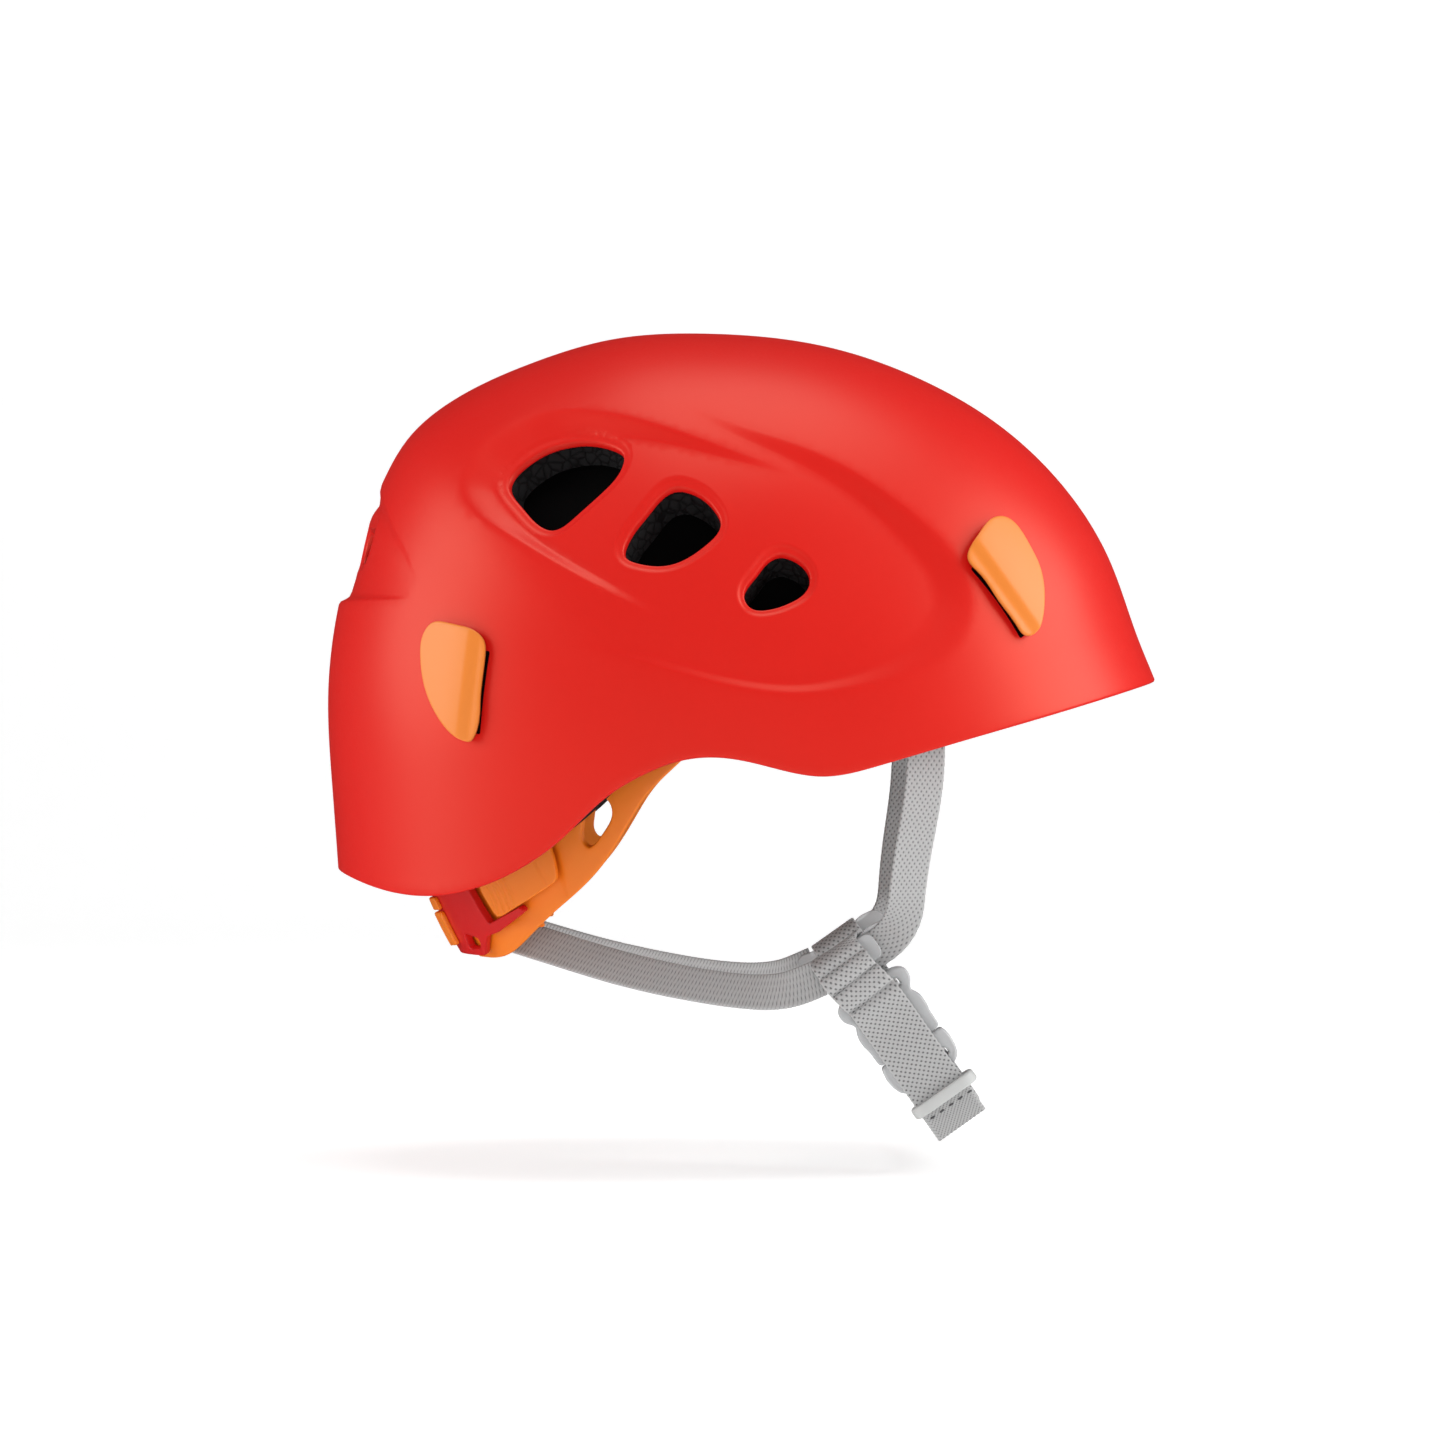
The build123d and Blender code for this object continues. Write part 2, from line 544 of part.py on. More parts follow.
def chin_strap():
    """Wide strap from the buckle, under the chin and up the left side."""
    depth = CHIN_DEPTH - WIDE_WEB_THICKNESS / 2 - CHIN_TURN_START
    share = 2 / CHIN_TURN_POWER
    turn = []
    for angle in np.linspace(0, math.pi, CHIN_TURN_STEPS):
        side = math.copysign(abs(math.cos(angle)) ** share, math.cos(angle))
        turn.append((CHIN_TURN_START + depth * math.sin(angle) ** share, -CHIN_HALF * side))
    return chin_ribbon([(BUCKLE_END, -CHIN_HALF)] + turn + [(LEFT_JOIN, CHIN_HALF)])


def keeper_ring():
    """Flat oval loop that keeps the loose end against the chin strap."""
    across = WIDE_WEB_WIDTH / 2 + RING_PLAY
    outer_gap = tail_depth() + WIDE_WEB_THICKNESS / 2 + RING_PLAY
    inner_gap = WIDE_WEB_THICKNESS / 2 + RING_PLAY
    centre, high = (outer_gap - inner_gap) / 2, outer_gap + inner_gap
    hole = RectangleRounded(2 * across, high, RING_CORNER)
    rim = RectangleRounded(2 * (across + RING_WALL), high + 2 * RING_WALL, RING_CORNER + RING_WALL)
    plane = Plane(origin=CHIN_ORIGIN + W_AXIS * (RING_PLACE - RING_THICKNESS / 2)
                  + Vector(0, -CHIN_HALF - centre, 0), x_dir=U_AXIS, z_dir=W_AXIS)
    return extrude(plane * (rim - hole), amount=RING_THICKNESS)


def harness():
    """Straps, guides, buckle and keeper."""
    tail = CHIN_HALF + tail_depth()
    right_route = loop_route(-1, lambda outer: [(TAIL_START, -tail), (TAIL_END, -tail)])
    first, second, third = LEFT_LOOP_STEPS
    left_route = loop_route(1, lambda outer: [(first, outer), (second, outer), (third, CHIN_HALF),
                                              (LEFT_JOIN - SPLIT_GAP, CHIN_HALF)])
    made = {"front_strap_right": front_strap(), "rear_strap_right": rear_strap(),
            "strap_guide_right": strap_guide()}
    for name in list(made):
        made[name.replace("right", "left")] = left_copy(made[name])
    made["chin_loop_right"] = chin_ribbon(right_route)
    made["chin_loop_left"] = chin_ribbon(left_route)
    made["buckle_female"] = buckle_female()
    made["buckle_male"] = buckle_male()
    made["chin_strap"] = chin_strap()
    made["keeper_ring"] = keeper_ring()
    return made


def helmet():
    """Every piece of the helmet by name."""
    pin, anchor = pivot_pin(), strap_anchor()
    shell, liner = shell_and_liner(pin, anchor)
    made = {"outer_shell": shell, "foam_liner": liner}
    pairs = {"headlamp_clip_rear_right": clip(REAR_CLIP, REAR_CLIP_SLOT),
             "headlamp_clip_front_right": clip(FRONT_CLIP, FRONT_CLIP_SLOT),
             "pivot_pin_right": pin, "strap_anchor_right": anchor,
             "cradle_arm_right": cradle_arm(), "latch_right": latch()}
    for name, piece in pairs.items():
        made[name] = piece
        made[name.replace("right", "left")] = left_copy(piece)
    made.update(pads())
    made.update(nape_parts())
    made.update(harness())
    return made


os.makedirs("parts", exist_ok=True)
for node, piece in helmet().items():
    export_step(piece, f"parts/{node}.step")
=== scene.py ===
import math

import bmesh
import bpy
import numpy as np
from bpy.props import FloatProperty, FloatVectorProperty, PointerProperty
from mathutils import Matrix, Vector, kdtree
from mathutils.geometry import delaunay_2d_cdt


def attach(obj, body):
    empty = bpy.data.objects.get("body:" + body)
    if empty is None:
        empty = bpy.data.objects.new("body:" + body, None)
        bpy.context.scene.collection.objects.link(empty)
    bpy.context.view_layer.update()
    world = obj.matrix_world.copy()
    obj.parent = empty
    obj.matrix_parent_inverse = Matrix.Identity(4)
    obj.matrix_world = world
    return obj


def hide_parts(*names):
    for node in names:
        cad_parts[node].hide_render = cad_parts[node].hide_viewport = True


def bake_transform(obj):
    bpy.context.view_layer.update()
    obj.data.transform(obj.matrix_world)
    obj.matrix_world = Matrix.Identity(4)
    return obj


bl_info = {
    "name": "Climbing helmet",
    "version": (1, 0, 0),
    "blender": (4, 5, 0),
    "location": "View3D > Sidebar > Helmet",
    "description": "Builds the looks of a climbing helmet around its packed frame",
    "category": "Object",
}

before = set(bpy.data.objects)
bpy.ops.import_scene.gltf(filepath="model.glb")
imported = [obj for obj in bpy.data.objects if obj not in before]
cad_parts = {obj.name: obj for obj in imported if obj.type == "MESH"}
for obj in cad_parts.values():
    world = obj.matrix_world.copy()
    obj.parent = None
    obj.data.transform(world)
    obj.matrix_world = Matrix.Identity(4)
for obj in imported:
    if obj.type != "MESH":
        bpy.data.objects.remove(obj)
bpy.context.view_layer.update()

# Lengths below are in millimetres unless a name says otherwise; meshes are made in metres.
MM = 0.001

# ---- dome of the helmet: side view outline, rim line and hub of its rays ----
HALF_WIDTH = 100.0
SIDE_POWER = 2.25
HUB = np.array([4.6, 0.0, -28.0])
ROUND_UP = 130.0
PROFILE = [(128.5, 0), (126, 6.5), (124.1, 11.5), (118.9, 24.3), (110.1, 48.5), (94.4, 72.8),
           (74.3, 91), (52.8, 103.2), (26, 112.6), (-12.1, 116.9), (-40, 115.2), (-65, 107.8),
           (-87.7, 97.1), (-102.2, 84.8), (-110.5, 70), (-118.5, 51), (-123.8, 30.3), (-126.1, 8),
           (-125, -18.2), (-123.2, -42.5), (-122.3, -58), (-122, -72)]
RIM = [(-135, -41), (-121.5, -45.6), (-106, -50.2), (-92, -51.3), (-79.8, -49.1), (-66, -43),
       (-53.4, -33.8), (-41.9, -22.9), (-30.4, -15.7), (-17, -11), (-5, -10.8), (9.5, -14),
       (22, -16), (38, -13), (60, -6.6), (90, 1.9), (123, 11.5), (137, 15.5)]
WALL = 2.5
SHELL_EDGE = 0.85
LINER_INSET = 2.8
LINER_WALL = 16.0
LINER_RISE = 6.0
LINER_EDGE = 2.4
LINER_SPACING = 3.4
LINER_PAD = (4.8, 0.0, 2.1)  # depths of its two faces and radius of its edge

# ---- openings in the dome ----
SIDE_VENTS = [
    [(-69.1, 69.5), (-64.1, 76.1), (-58.9, 79.3), (-52.3, 81.2), (-40.3, 80.1), (-36.7, 77.3),
     (-36.9, 75.1), (-42.2, 67.6), (-50.4, 60.1), (-56.9, 56.4), (-60.5, 58.1), (-65.3, 63.3)],
    [(-20.2, 67.4), (-17.5, 67), (-9.2, 60.3), (-8.2, 57.6), (-11.9, 52), (-22.9, 45.9),
     (-31.1, 46.4), (-34.8, 48.3), (-33.9, 52.9), (-28.5, 60.4)],
    [(10, 47.7), (11.9, 47.4), (17.8, 41.9), (17.3, 39), (12.3, 34.9), (5.9, 32.9),
     (1.3, 33.5), (-0.1, 35.8), (3.1, 41.8), (7.7, 46.9)],
]
# The third growth and the two lines below size the black sheets behind the side vents, which are painted
# shade.
SHELL_VENT_GROWTH, LINER_VENT_GROWTH, VENT_SHADE_GROWTH = 0.8, 1.5, 2.8
VENT_SHADE_DEPTHS = (14.0, 13.2)
VENT_SHADE_EDGE = 0.3
REAR_VENT = {"y": 17.0, "z": 54.0, "length": 24.0, "height": 8.0}

# ---- pressed shapes: (x, z, width of the step) along the middle of each step ----
REAR_RECESS = [(-79.5, 69, 8), (-77.6, 75, 7), (-74.6, 79.2, 6.3), (-69, 83.4, 6), (-60.6, 87.6, 5.2),
               (-51.1, 88.8, 4.8), (-39, 87.6, 4.2), (-27.4, 85, 3.2), (-14, 80.9, 2.6), (0, 76.5, 2),
               (15.6, 71.8, 1.6), (32, 62, 2), (38, 48, 2), (26, 30, 2), (0, 23, 2), (-19, 27.7, 2),
               (-32, 34.2, 2.7), (-45.8, 41.9, 3.2), (-59.8, 50.4, 3.6), (-70, 57.6, 5.5),
               (-76.4, 63.4, 8)]
REAR_FADE = ((15.6, 71.8), (-0.801, 0.599), 60.0)
FRONT_RECESS = [(-21, 92.8, 2), (-4.3, 85.3, 2.6), (14, 78.4, 3.6), (28.5, 71.4, 4.2),
                (41.5, 62.4, 4.8), (51, 53.8, 6.2), (57.5, 45.5, 7.5), (60.5, 35.5, 9),
                (56.5, 24.5, 11), (44.5, 15.8, 7.5), (31.2, 11.6, 4.8), (16.7, 9.3, 3.7),
                (0.4, 10.4, 3.2), (-13, 13.2, 3), (-36.5, 19.5, 2.6), (-58.7, 24.6, 2.4),
                (-78, 45, 2), (-66, 80, 2), (-42, 95, 2)]
FRONT_FADE = ((-21.3, 93.8), (0.883, -0.47), 80.0)
RECESS_DEPTH = 3.6
SCOOP_TOP = [(0, 70.5), (15, 69.6), (30, 65.6), (41, 60), (49, 54.4), (56, 48.6), (62, 42.5), (70, 40)]
SCOOP_FOOT = 35.2
SCOOP_SIDE = 62.0
SCOOP_SECTION = [(0, 0), (0.035, 0.7), (0.06, 2.1), (0.1, 3.0), (0.2, 3.45), (0.38, 3.2),
                 (0.56, 2.2), (0.72, 1.4), (0.8, 1.5), (0.88, 2.2), (0.935, 1.5), (0.97, 0.5), (1.02, 0)]

# ---- headlamp clips, with the line of their straight edge; a black strip under that edge is painted shadow of the slot ----
REAR_CLIP = [(-94.8, 18.6), (-93.7, 25.6), (-90.7, 28.5), (-87.6, 28.4), (-82.5, 27.1), (-77.9, 25.5),
             (-75.9, 23.2), (-75.5, 18.3), (-76.8, 6.6), (-77.8, -2.6), (-80.2, -6.2), (-82.8, -5.4),
             (-86.8, -1.9), (-90.6, 3.5), (-93.4, 9.9)]
REAR_CLIP_EDGE = ((-75.4, 20.0), (-78.2, -4.0))
FRONT_CLIP = [(64.1, 47.3), (65, 50.4), (67.5, 54.2), (70.5, 57.9), (74, 59.4), (76.9, 58.8),
              (79.8, 56.1), (83.2, 50.2), (85.5, 44.9), (86.4, 39), (86, 32.6), (85, 27.7),
              (83.2, 24.8), (81, 24.6), (78.4, 27.4), (72.8, 35.1), (67.5, 42.6)]
FRONT_CLIP_EDGE = ((80.5, 24.4), (66.0, 44.6))
CLIP_HEIGHT = 3.9
CLIP_FOOT = 0.35
CLIP_EDGE = 0.62

# ---- side pad, in side view ----
SIDE_PAD = [(20, 17), (40, 15), (60, 18), (62, 26), (57, 33), (40, 36), (22, 33), (18, 26)]

# ---- headband: half axes of the head form, outlines in side view ----
HEAD_FORM = np.array([100.0, 74.0, 117.0])
ARM_THICKNESS = 2.4
PIVOT = (4.5, 8.6)
ARM = [(10.5, 16), (-2, 19.5), (-22, 12), (-44, -6), (-60, -24), (-74, -38), (-81, -46), (-82, -54),
       (-84, -61), (-88, -65), (-88, -70), (-80, -71.3), (-76, -71.3), (-71.8, -70.5), (-66.2, -66.3),
       (-58.8, -58.8), (-49.6, -50.6), (-42, -42.3), (-34.3, -30.2), (-28.8, -21.7), (-19, -11.9),
       (-8, -3.5), (8, -0.5), (14, 7)]
ARM_HOLE = [(-46.3, -24.6), (-43.5, -22.6), (-41, -23), (-39.3, -25.6), (-39.3, -28.4), (-41, -31.8),
            (-43.6, -35.4), (-46.1, -37.1), (-47.7, -35.6), (-48, -31.5), (-47.4, -27.5)]
LATCH_GAP, LATCH_THICKNESS = 1.4, 1.8
CARRIAGE_GAP, CARRIAGE_THICKNESS = 0.5, 2.4
LATCH = [(-73.5, -58.8), (-64.5, -53.2), (-55.4, -47.2), (-56.4, -41), (-58.5, -35), (-70, -39.5),
         (-81, -44), (-78, -51.5)]
CARRIAGE = [(-82.5, -50), (-79.5, -55.5), (-76.2, -60.6), (-71.5, -57.9), (-66.6, -55.1), (-65.2, -56.7),
            (-69.3, -60), (-73.3, -63), (-77, -64.5), (-77.6, -67.5), (-77.8, -70.5)]
CARRIAGE_WINDOW = [(-84.2, -64), (-79.4, -65.2), (-78.9, -68.2), (-82.6, -68.8)]

# ---- webbing routes, (x, y, z) on the right-hand side ----
THIN_WEB = (11.0, 1.2)  # width and thickness
WIDE_WEB = (16.0, 1.4)
TAIL_WEB = (16.6, 1.3)
FOLD_WEB = (16.8, 2.2)
WEB_STEP, WEB_COLUMN = 0.34, 0.27
STITCH = {"Step": 2.75 * MM, "Length": 1.75 * MM, "Thickness": 0.62 * MM}
FRONT_ROUTE = [(52.2, -71, -4.5), (52.2, -70, -12), (50.8, -64, -27), (48.8, -58, -39.5),
               (47.4, -51.2, -51.5), (45.8, -46.4, -59.5), (42.4, -45, -64.4), (36, -45, -68.9)]
REAR_ROUTE = [(22, -45, -76), (12.5, -44.6, -79.6), (1.3, -41, -80.4), (-16.2, -37, -78.3),
              (-31, -32, -75.4), (-46, -26, -71.6), (-62, -20.5, -66.8), (-76, -15, -62.6)]
REAR_TILT = [0, 12, 25, 30, 30, 30, 28, 25]
JUNCTION = np.array([30.7, -45.0, -71.0])
DOWN = np.array([0.577, 0.0, -0.817])
ACROSS = np.array([0.817, 0.0, 0.577])
OUT = np.array([0.0, -1.0, 0.0])
JUNCTION_PLACE = 8.6
CHIN_HALF = 46.0
TAIL_DEPTH = 5.6
BUCKLE_START = 17.0
RING_PLACE = 56.5
TAIL_END = 67.0
CHIN_BOTTOM = 65.3
CHIN_TURN = 58.5
CHIN_ORIGIN = np.array([JUNCTION[0], 0, JUNCTION[2]]) - DOWN * JUNCTION_PLACE

# ---- guide and buckle outlines, (across, down the strap) ----
GUIDE = [(-14.5, -6.0), (-12, -7.6), (-7, -5.6), (6.5, -5.8), (10, -7), (15.5, -5.6), (16.5, 0.5),
         (12.5, 4.4), (7, 5.6), (-7, 5.6), (-12.8, 2.0)]
SOCKET_EDGE = [(8.5, 17.2), (11.0, 18.2), (12.2, 20.0), (11.9, 22.6), (10.2, 24.6), (9.9, 25.8),
               (11.3, 28.6), (11.3, 31.5), (10.8, 34.0), (10.7, 39.3)]
PLUG_EDGE = [(10.6, 39.8), (11.2, 41.6), (11.5, 43.8), (11.0, 47.0), (10.3, 48.8), (8.6, 50.4)]
PRONG = [(7.2, 41.5), (7.0, 30.0), (7.6, 27.2), (8.8, 26.8), (10.0, 29.0), (10.4, 31.5), (9.2, 32.6),
         (9.0, 41.5)]

# ---- stage, in metres and watts: (name, place, size, power, seen in reflections) ----
FLOOR_HEIGHT = -0.1335
LAMPS = [
    ("Left", (-1.5, -0.3, 0.45), 1.2, 10.0, True),
    ("Right", (1.4, -0.2, 0.65), 1.4, 16.5, True),
    ("Top", (0.1, -0.1, 1.5), 1.2, 7.5, True),
    ("Front", (-0.1, -1.6, 0.0), 0.8, 4.0, False),
]
LAMP_AIM = (0, 0, 0.02)
WORLD_LIGHT = 0.36
FLOOR_GLOW = 0.4


# ---------------------------------------------------------------- curves and outlines

def natural_curve(points, count):
    """Points along a natural cubic spline through the given points of any dimension."""
    knots = np.array(points, float)
    spans = np.linalg.norm(np.diff(knots, axis=0), axis=1)
    place = np.concatenate([[0.0], np.cumsum(spans)])
    size = len(knots)
    matrix, right = np.eye(size), np.zeros((size, knots.shape[1]))
    for i in range(1, size - 1):
        before, after = spans[i - 1], spans[i]
        matrix[i, i - 1:i + 2] = before, 2 * (before + after), after
        right[i] = 6 * ((knots[i + 1] - knots[i]) / after - (knots[i] - knots[i - 1]) / before)
    bend = np.linalg.solve(matrix, right)
    along = np.linspace(0, place[-1], count)
    k = np.clip(np.searchsorted(place, along) - 1, 0, size - 2)
    span = spans[k][:, None]
    low = (along - place[k])[:, None] / span
    high = 1 - low
    curve = high * knots[k] + low * knots[k + 1]
    return curve + ((high ** 3 - high) * bend[k] + (low ** 3 - low) * bend[k + 1]) * span ** 2 / 6


def spaced(curve, count, closed=False):
    """The same curve with its points an equal distance apart."""
    line = np.vstack([curve, curve[:1]]) if closed else np.asarray(curve, float)
    place = np.concatenate([[0.0], np.cumsum(np.linalg.norm(np.diff(line, axis=0), axis=1))])
    wanted = np.linspace(0, place[-1], count + 1)[:-1] if closed else np.linspace(0, place[-1], count)
    return np.stack([np.interp(wanted, place, line[:, i]) for i in range(line.shape[1])], axis=1)


def closed_curve(points, count):
    """Smooth closed curve through the points."""
    wrapped = np.array(list(points[-4:]) + list(points) + list(points[:5]), float)
    place = np.concatenate([[0.0], np.cumsum(np.linalg.norm(np.diff(wrapped, axis=0), axis=1))])
    fine = natural_curve(wrapped, 60 * len(wrapped))
    first, last = (int(round(place[i] / place[-1] * (len(fine) - 1))) for i in (4, 4 + len(points)))
    return spaced(fine[first:last], count, closed=True)


def rounded_polygon(points, radius, count):
    """Closed outline with straight sides and rounded corners."""
    made, size = [], len(points)
    corners = np.array(points, float)
    for i in range(size):
        corner, before, after = corners[i], corners[i - 1], corners[(i + 1) % size]
        back, ahead = before - corner, after - corner
        reach = min(radius, 0.45 * np.linalg.norm(back), 0.45 * np.linalg.norm(ahead))
        start = corner + back / np.linalg.norm(back) * reach
        end = corner + ahead / np.linalg.norm(ahead) * reach
        for t in np.linspace(0, 1, 9):
            made.append((1 - t) ** 2 * start + 2 * t * (1 - t) * corner + t * t * end)
    return spaced(np.array(made), count, closed=True)


def outward(loop):
    """Unit normals pointing out of a closed 2-D outline, whichever way it runs."""
    along = np.roll(loop, -1, axis=0) - np.roll(loop, 1, axis=0)
    along /= np.linalg.norm(along, axis=1)[:, None]
    area = np.sum(loop[:, 0] * np.roll(loop[:, 1], -1) - loop[:, 1] * np.roll(loop[:, 0], -1))
    normal = np.stack([along[:, 1], -along[:, 0]], axis=1)
    return normal if area > 0 else -normal


def inside(points, loop):
    """True for the points inside a closed 2-D outline."""
    found = np.zeros(len(points), bool)
    for (x1, y1), (x2, y2) in zip(loop, np.roll(loop, -1, axis=0)):
        if y1 == y2:
            continue
        crosses = (y1 > points[:, 1]) != (y2 > points[:, 1])
        found ^= crosses & (points[:, 0] < (x2 - x1) * (points[:, 1] - y1) / (y2 - y1) + x1)
    return found


def distance_to(points, line, closed=True):
    """Distance of 2-D points from a line, and how far along its points the nearest place is."""
    best = np.full(len(points), 1e9)
    place = np.zeros(len(points))
    ends = np.roll(line, -1, axis=0) if closed else line[1:]
    for i, (start, end) in enumerate(zip(line, ends)):
        side = end - start
        t = np.clip(((points - start) @ side) / max(side @ side, 1e-12), 0, 1)
        gap = np.linalg.norm(points - start - t[:, None] * side, axis=1)
        nearer = gap < best
        best[nearer], place[nearer] = gap[nearer], i + t[nearer]
    return best, place


def smooth_step(t):
    t = np.clip(t, 0.0, 1.0)
    return t * t * (3.0 - 2.0 * t)


# ---------------------------------------------------------------- forms that sheets are laid on

def flat_of(direction, pole):
    """Flat place of unit directions, as distance and bearing about the pole."""
    side, up, centre = pole
    depth = direction @ centre
    tilt = np.arccos(np.clip(depth, -1, 1))
    across, high = direction @ side, direction @ up
    length = np.maximum(np.hypot(across, high), 1e-9)
    return np.stack([across, high], axis=1) / length[:, None] * (tilt * ROUND_UP)[:, None]


def direction_of(flat, pole):
    side, up, centre = pole
    length = np.hypot(flat[:, 0], flat[:, 1])
    tilt = length / ROUND_UP
    bearing = flat / np.maximum(length, 1e-9)[:, None]
    ring = bearing[:, :1] * side + bearing[:, 1:] * up
    return ring * np.sin(tilt)[:, None] + centre * np.cos(tilt)[:, None]


def profile_reach(inset):
    """Angle about the hub and distance from it of the middle profile moved inwards."""
    curve = natural_curve(PROFILE, 1200)
    along = np.gradient(curve, axis=0)
    along /= np.linalg.norm(along, axis=1)[:, None]
    inwards = np.stack([-along[:, 1], along[:, 0]], axis=1)
    moved = curve + inset * inwards - HUB[[0, 2]]
    angle = np.arctan2(moved[:, 1], moved[:, 0])
    angle = np.where(angle < -math.pi / 2, angle + 2 * math.pi, angle)
    order = np.argsort(angle)
    return angle[order], np.hypot(moved[:, 0], moved[:, 1])[order]


class Dome:
    """The helmet's dome, seen from above; depth is measured inwards along rays from the hub."""
    pole = (np.array([1.0, 0, 0]), np.array([0, 1.0, 0]), np.array([0, 0, 1.0]))

    def __init__(self, inset=0.0):
        self.inset = inset
        self.angle, self.reach = profile_reach(inset)
        self.half = HALF_WIDTH - inset

    def length(self, direction):
        turn = np.arctan2(direction[:, 2], direction[:, 0])
        turn = np.where(turn < -math.pi / 2, turn + 2 * math.pi, turn)
        reach = np.interp(turn, self.angle, self.reach)
        side = np.abs(direction[:, 1]) / self.half
        level = np.hypot(direction[:, 0], direction[:, 2]) / reach
        return (side ** SIDE_POWER + level ** SIDE_POWER) ** (-1 / SIDE_POWER)

    def place(self, flat, depth=0.0):
        direction = direction_of(flat, self.pole)
        return HUB + direction * (self.length(direction) - depth)[:, None]

    def flat_from_side(self, outline, side):
        """Flat outline of one drawn in side view, on the right (-1) or left (1)."""
        outline = np.asarray(outline, float)
        level = outline - HUB[[0, 2]]
        reach = np.interp(np.arctan2(level[:, 1], level[:, 0]) % (2 * math.pi), self.angle, self.reach)
        share = np.clip(np.hypot(level[:, 0], level[:, 1]) / reach, 0, 0.9999)
        across = side * self.half * (1 - share ** SIDE_POWER) ** (1 / SIDE_POWER)
        ray = np.stack([level[:, 0], across, level[:, 1]], axis=1)
        return flat_of(ray / np.linalg.norm(ray, axis=1)[:, None], self.pole)

    def flat_from_rear(self, outline):
        """Flat outline of one drawn as (y, z) from behind."""
        outline = np.asarray(outline, float)
        low, high = np.full(len(outline), -140.0), np.full(len(outline), -60.0)
        for _ in range(40):
            middle = (low + high) / 2
            ray = np.stack([middle - HUB[0], outline[:, 0], outline[:, 1] - HUB[2]], axis=1)
            size = np.linalg.norm(ray, axis=1)
            outside = size > self.length(ray / size[:, None])
            low, high = np.where(outside, middle, low), np.where(outside, high, middle)
        return flat_of(ray / size[:, None], self.pole)

    def rim(self, rise, count):
        """Flat outline of the rim, lifted by rise."""
        line = natural_curve(RIM, 900)
        bearing = np.linspace(0, 2 * math.pi, count, endpoint=False)
        ring = np.stack([np.cos(bearing), np.sin(bearing)], axis=1)
        low, high = np.full(count, 0.6), np.full(count, 2.2)
        for _ in range(40):
            middle = (low + high) / 2
            point = self.place(ring * (middle * ROUND_UP)[:, None])
            above = point[:, 2] > np.interp(point[:, 0], line[:, 0], line[:, 1]) + rise
            low, high = np.where(above, middle, low), np.where(above, high, middle)
        return spaced(ring * (middle * ROUND_UP)[:, None], count, closed=True)


class HeadForm:
    """Ellipsoid that the headband follows; depth is measured outwards, and outlines lie at one depth."""

    def __init__(self, pole, drawn=0.0):
        self.pole = pole
        self.drawn = HEAD_FORM + drawn

    def place(self, flat, depth=0.0):
        direction = direction_of(flat, self.pole)
        return direction * (HEAD_FORM + np.reshape(depth, (-1, 1)) * np.ones(3))

    def seen(self, flat):
        """Side view (x, z) of flat places at the depth of the outlines."""
        return (direction_of(flat, self.pole) * self.drawn)[:, [0, 2]]

    def flat_from_side(self, outline, side, limit=79.0):
        """Flat outline of one drawn in side view; it stops at a limit in degrees from the side."""
        level = np.asarray(outline, float) / self.drawn[[0, 2]]
        size = np.hypot(level[:, 0], level[:, 1])
        most = math.sin(math.radians(limit))
        level = level * (np.minimum(size, most) / size)[:, None]
        across = side * np.sqrt(1 - np.sum(level ** 2, axis=1))
        return flat_of(np.stack([level[:, 0], across, level[:, 1]], axis=1), self.pole)

    def flat_from_rear(self, outline):
        """Flat outline of one drawn as (y, z) from behind."""
        level = np.asarray(outline, float) / self.drawn[1:]
        back = -np.sqrt(np.clip(1 - np.sum(level ** 2, axis=1), 0.01, 1))
        return flat_of(np.stack([back, level[:, 0], level[:, 1]], axis=1), self.pole)


RIGHT_POLE = (np.array([1.0, 0, 0]), np.array([0, 0, 1.0]), np.array([0, -1.0, 0]))
REAR_POLE = (np.array([0, 1.0, 0]), np.array([0, 0, 1.0]), np.array([-1.0, 0, 0]))


# ---------------------------------------------------------------- mesh building

def filled(loops, extra):
    """Triangles between the first loop and the holes, through the extra points."""
    points = np.concatenate(loops + [extra])
    edges, start = [], 0
    for loop in loops:
        size = len(loop)
        edges += [(start + i, start + (i + 1) % size) for i in range(size)]
        start += size
    found = delaunay_2d_cdt([Vector(p) for p in points], edges, [], 0, 1e-5, True)
    if any(not source for source in found[3]):
        raise RuntimeError("outlines of a sheet cross each other")
    source = np.array([ids[0] for ids in found[3]])
    triangles = source[np.array([face for face in found[2] if len(face) == 3])]
    middle = points[triangles].mean(axis=1)
    keep = inside(middle, loops[0])
    for hole in loops[1:]:
        keep &= ~inside(middle, hole)
    return points, triangles[keep]


def lattice(loops, spacing, clearance=0.6, extra=None):
    """Evenly spread points inside the first loop and outside the others."""
    low, high = loops[0].min(axis=0), loops[0].max(axis=0)
    rows = np.arange(low[1], high[1], spacing * 0.866)
    columns = np.arange(low[0], high[0], spacing)
    x, y = np.meshgrid(columns, rows)
    x = x + (np.arange(len(rows)) % 2)[:, None] * spacing / 2
    points = np.stack([x.ravel(), y.ravel()], axis=1)
    keep = inside(points, loops[0])
    for hole in loops[1:]:
        keep &= ~inside(points, hole)
    points = points[keep]
    fixed = np.concatenate(loops + ([extra] if extra is not None and len(extra) else []))
    tree = kdtree.KDTree(len(fixed))
    for i, p in enumerate(fixed):
        tree.insert((p[0], p[1], 0), i)
    tree.balance()
    gap = np.array([tree.find((p[0], p[1], 0))[2] for p in points])
    points = points[gap > spacing * clearance]
    return points if extra is None else np.concatenate([points, extra])


def put_in_scene(name, data):
    """New object at the origin that holds the data."""
    piece = bpy.data.objects.new(name, data)
    bpy.context.scene.collection.objects.link(piece)
    return piece


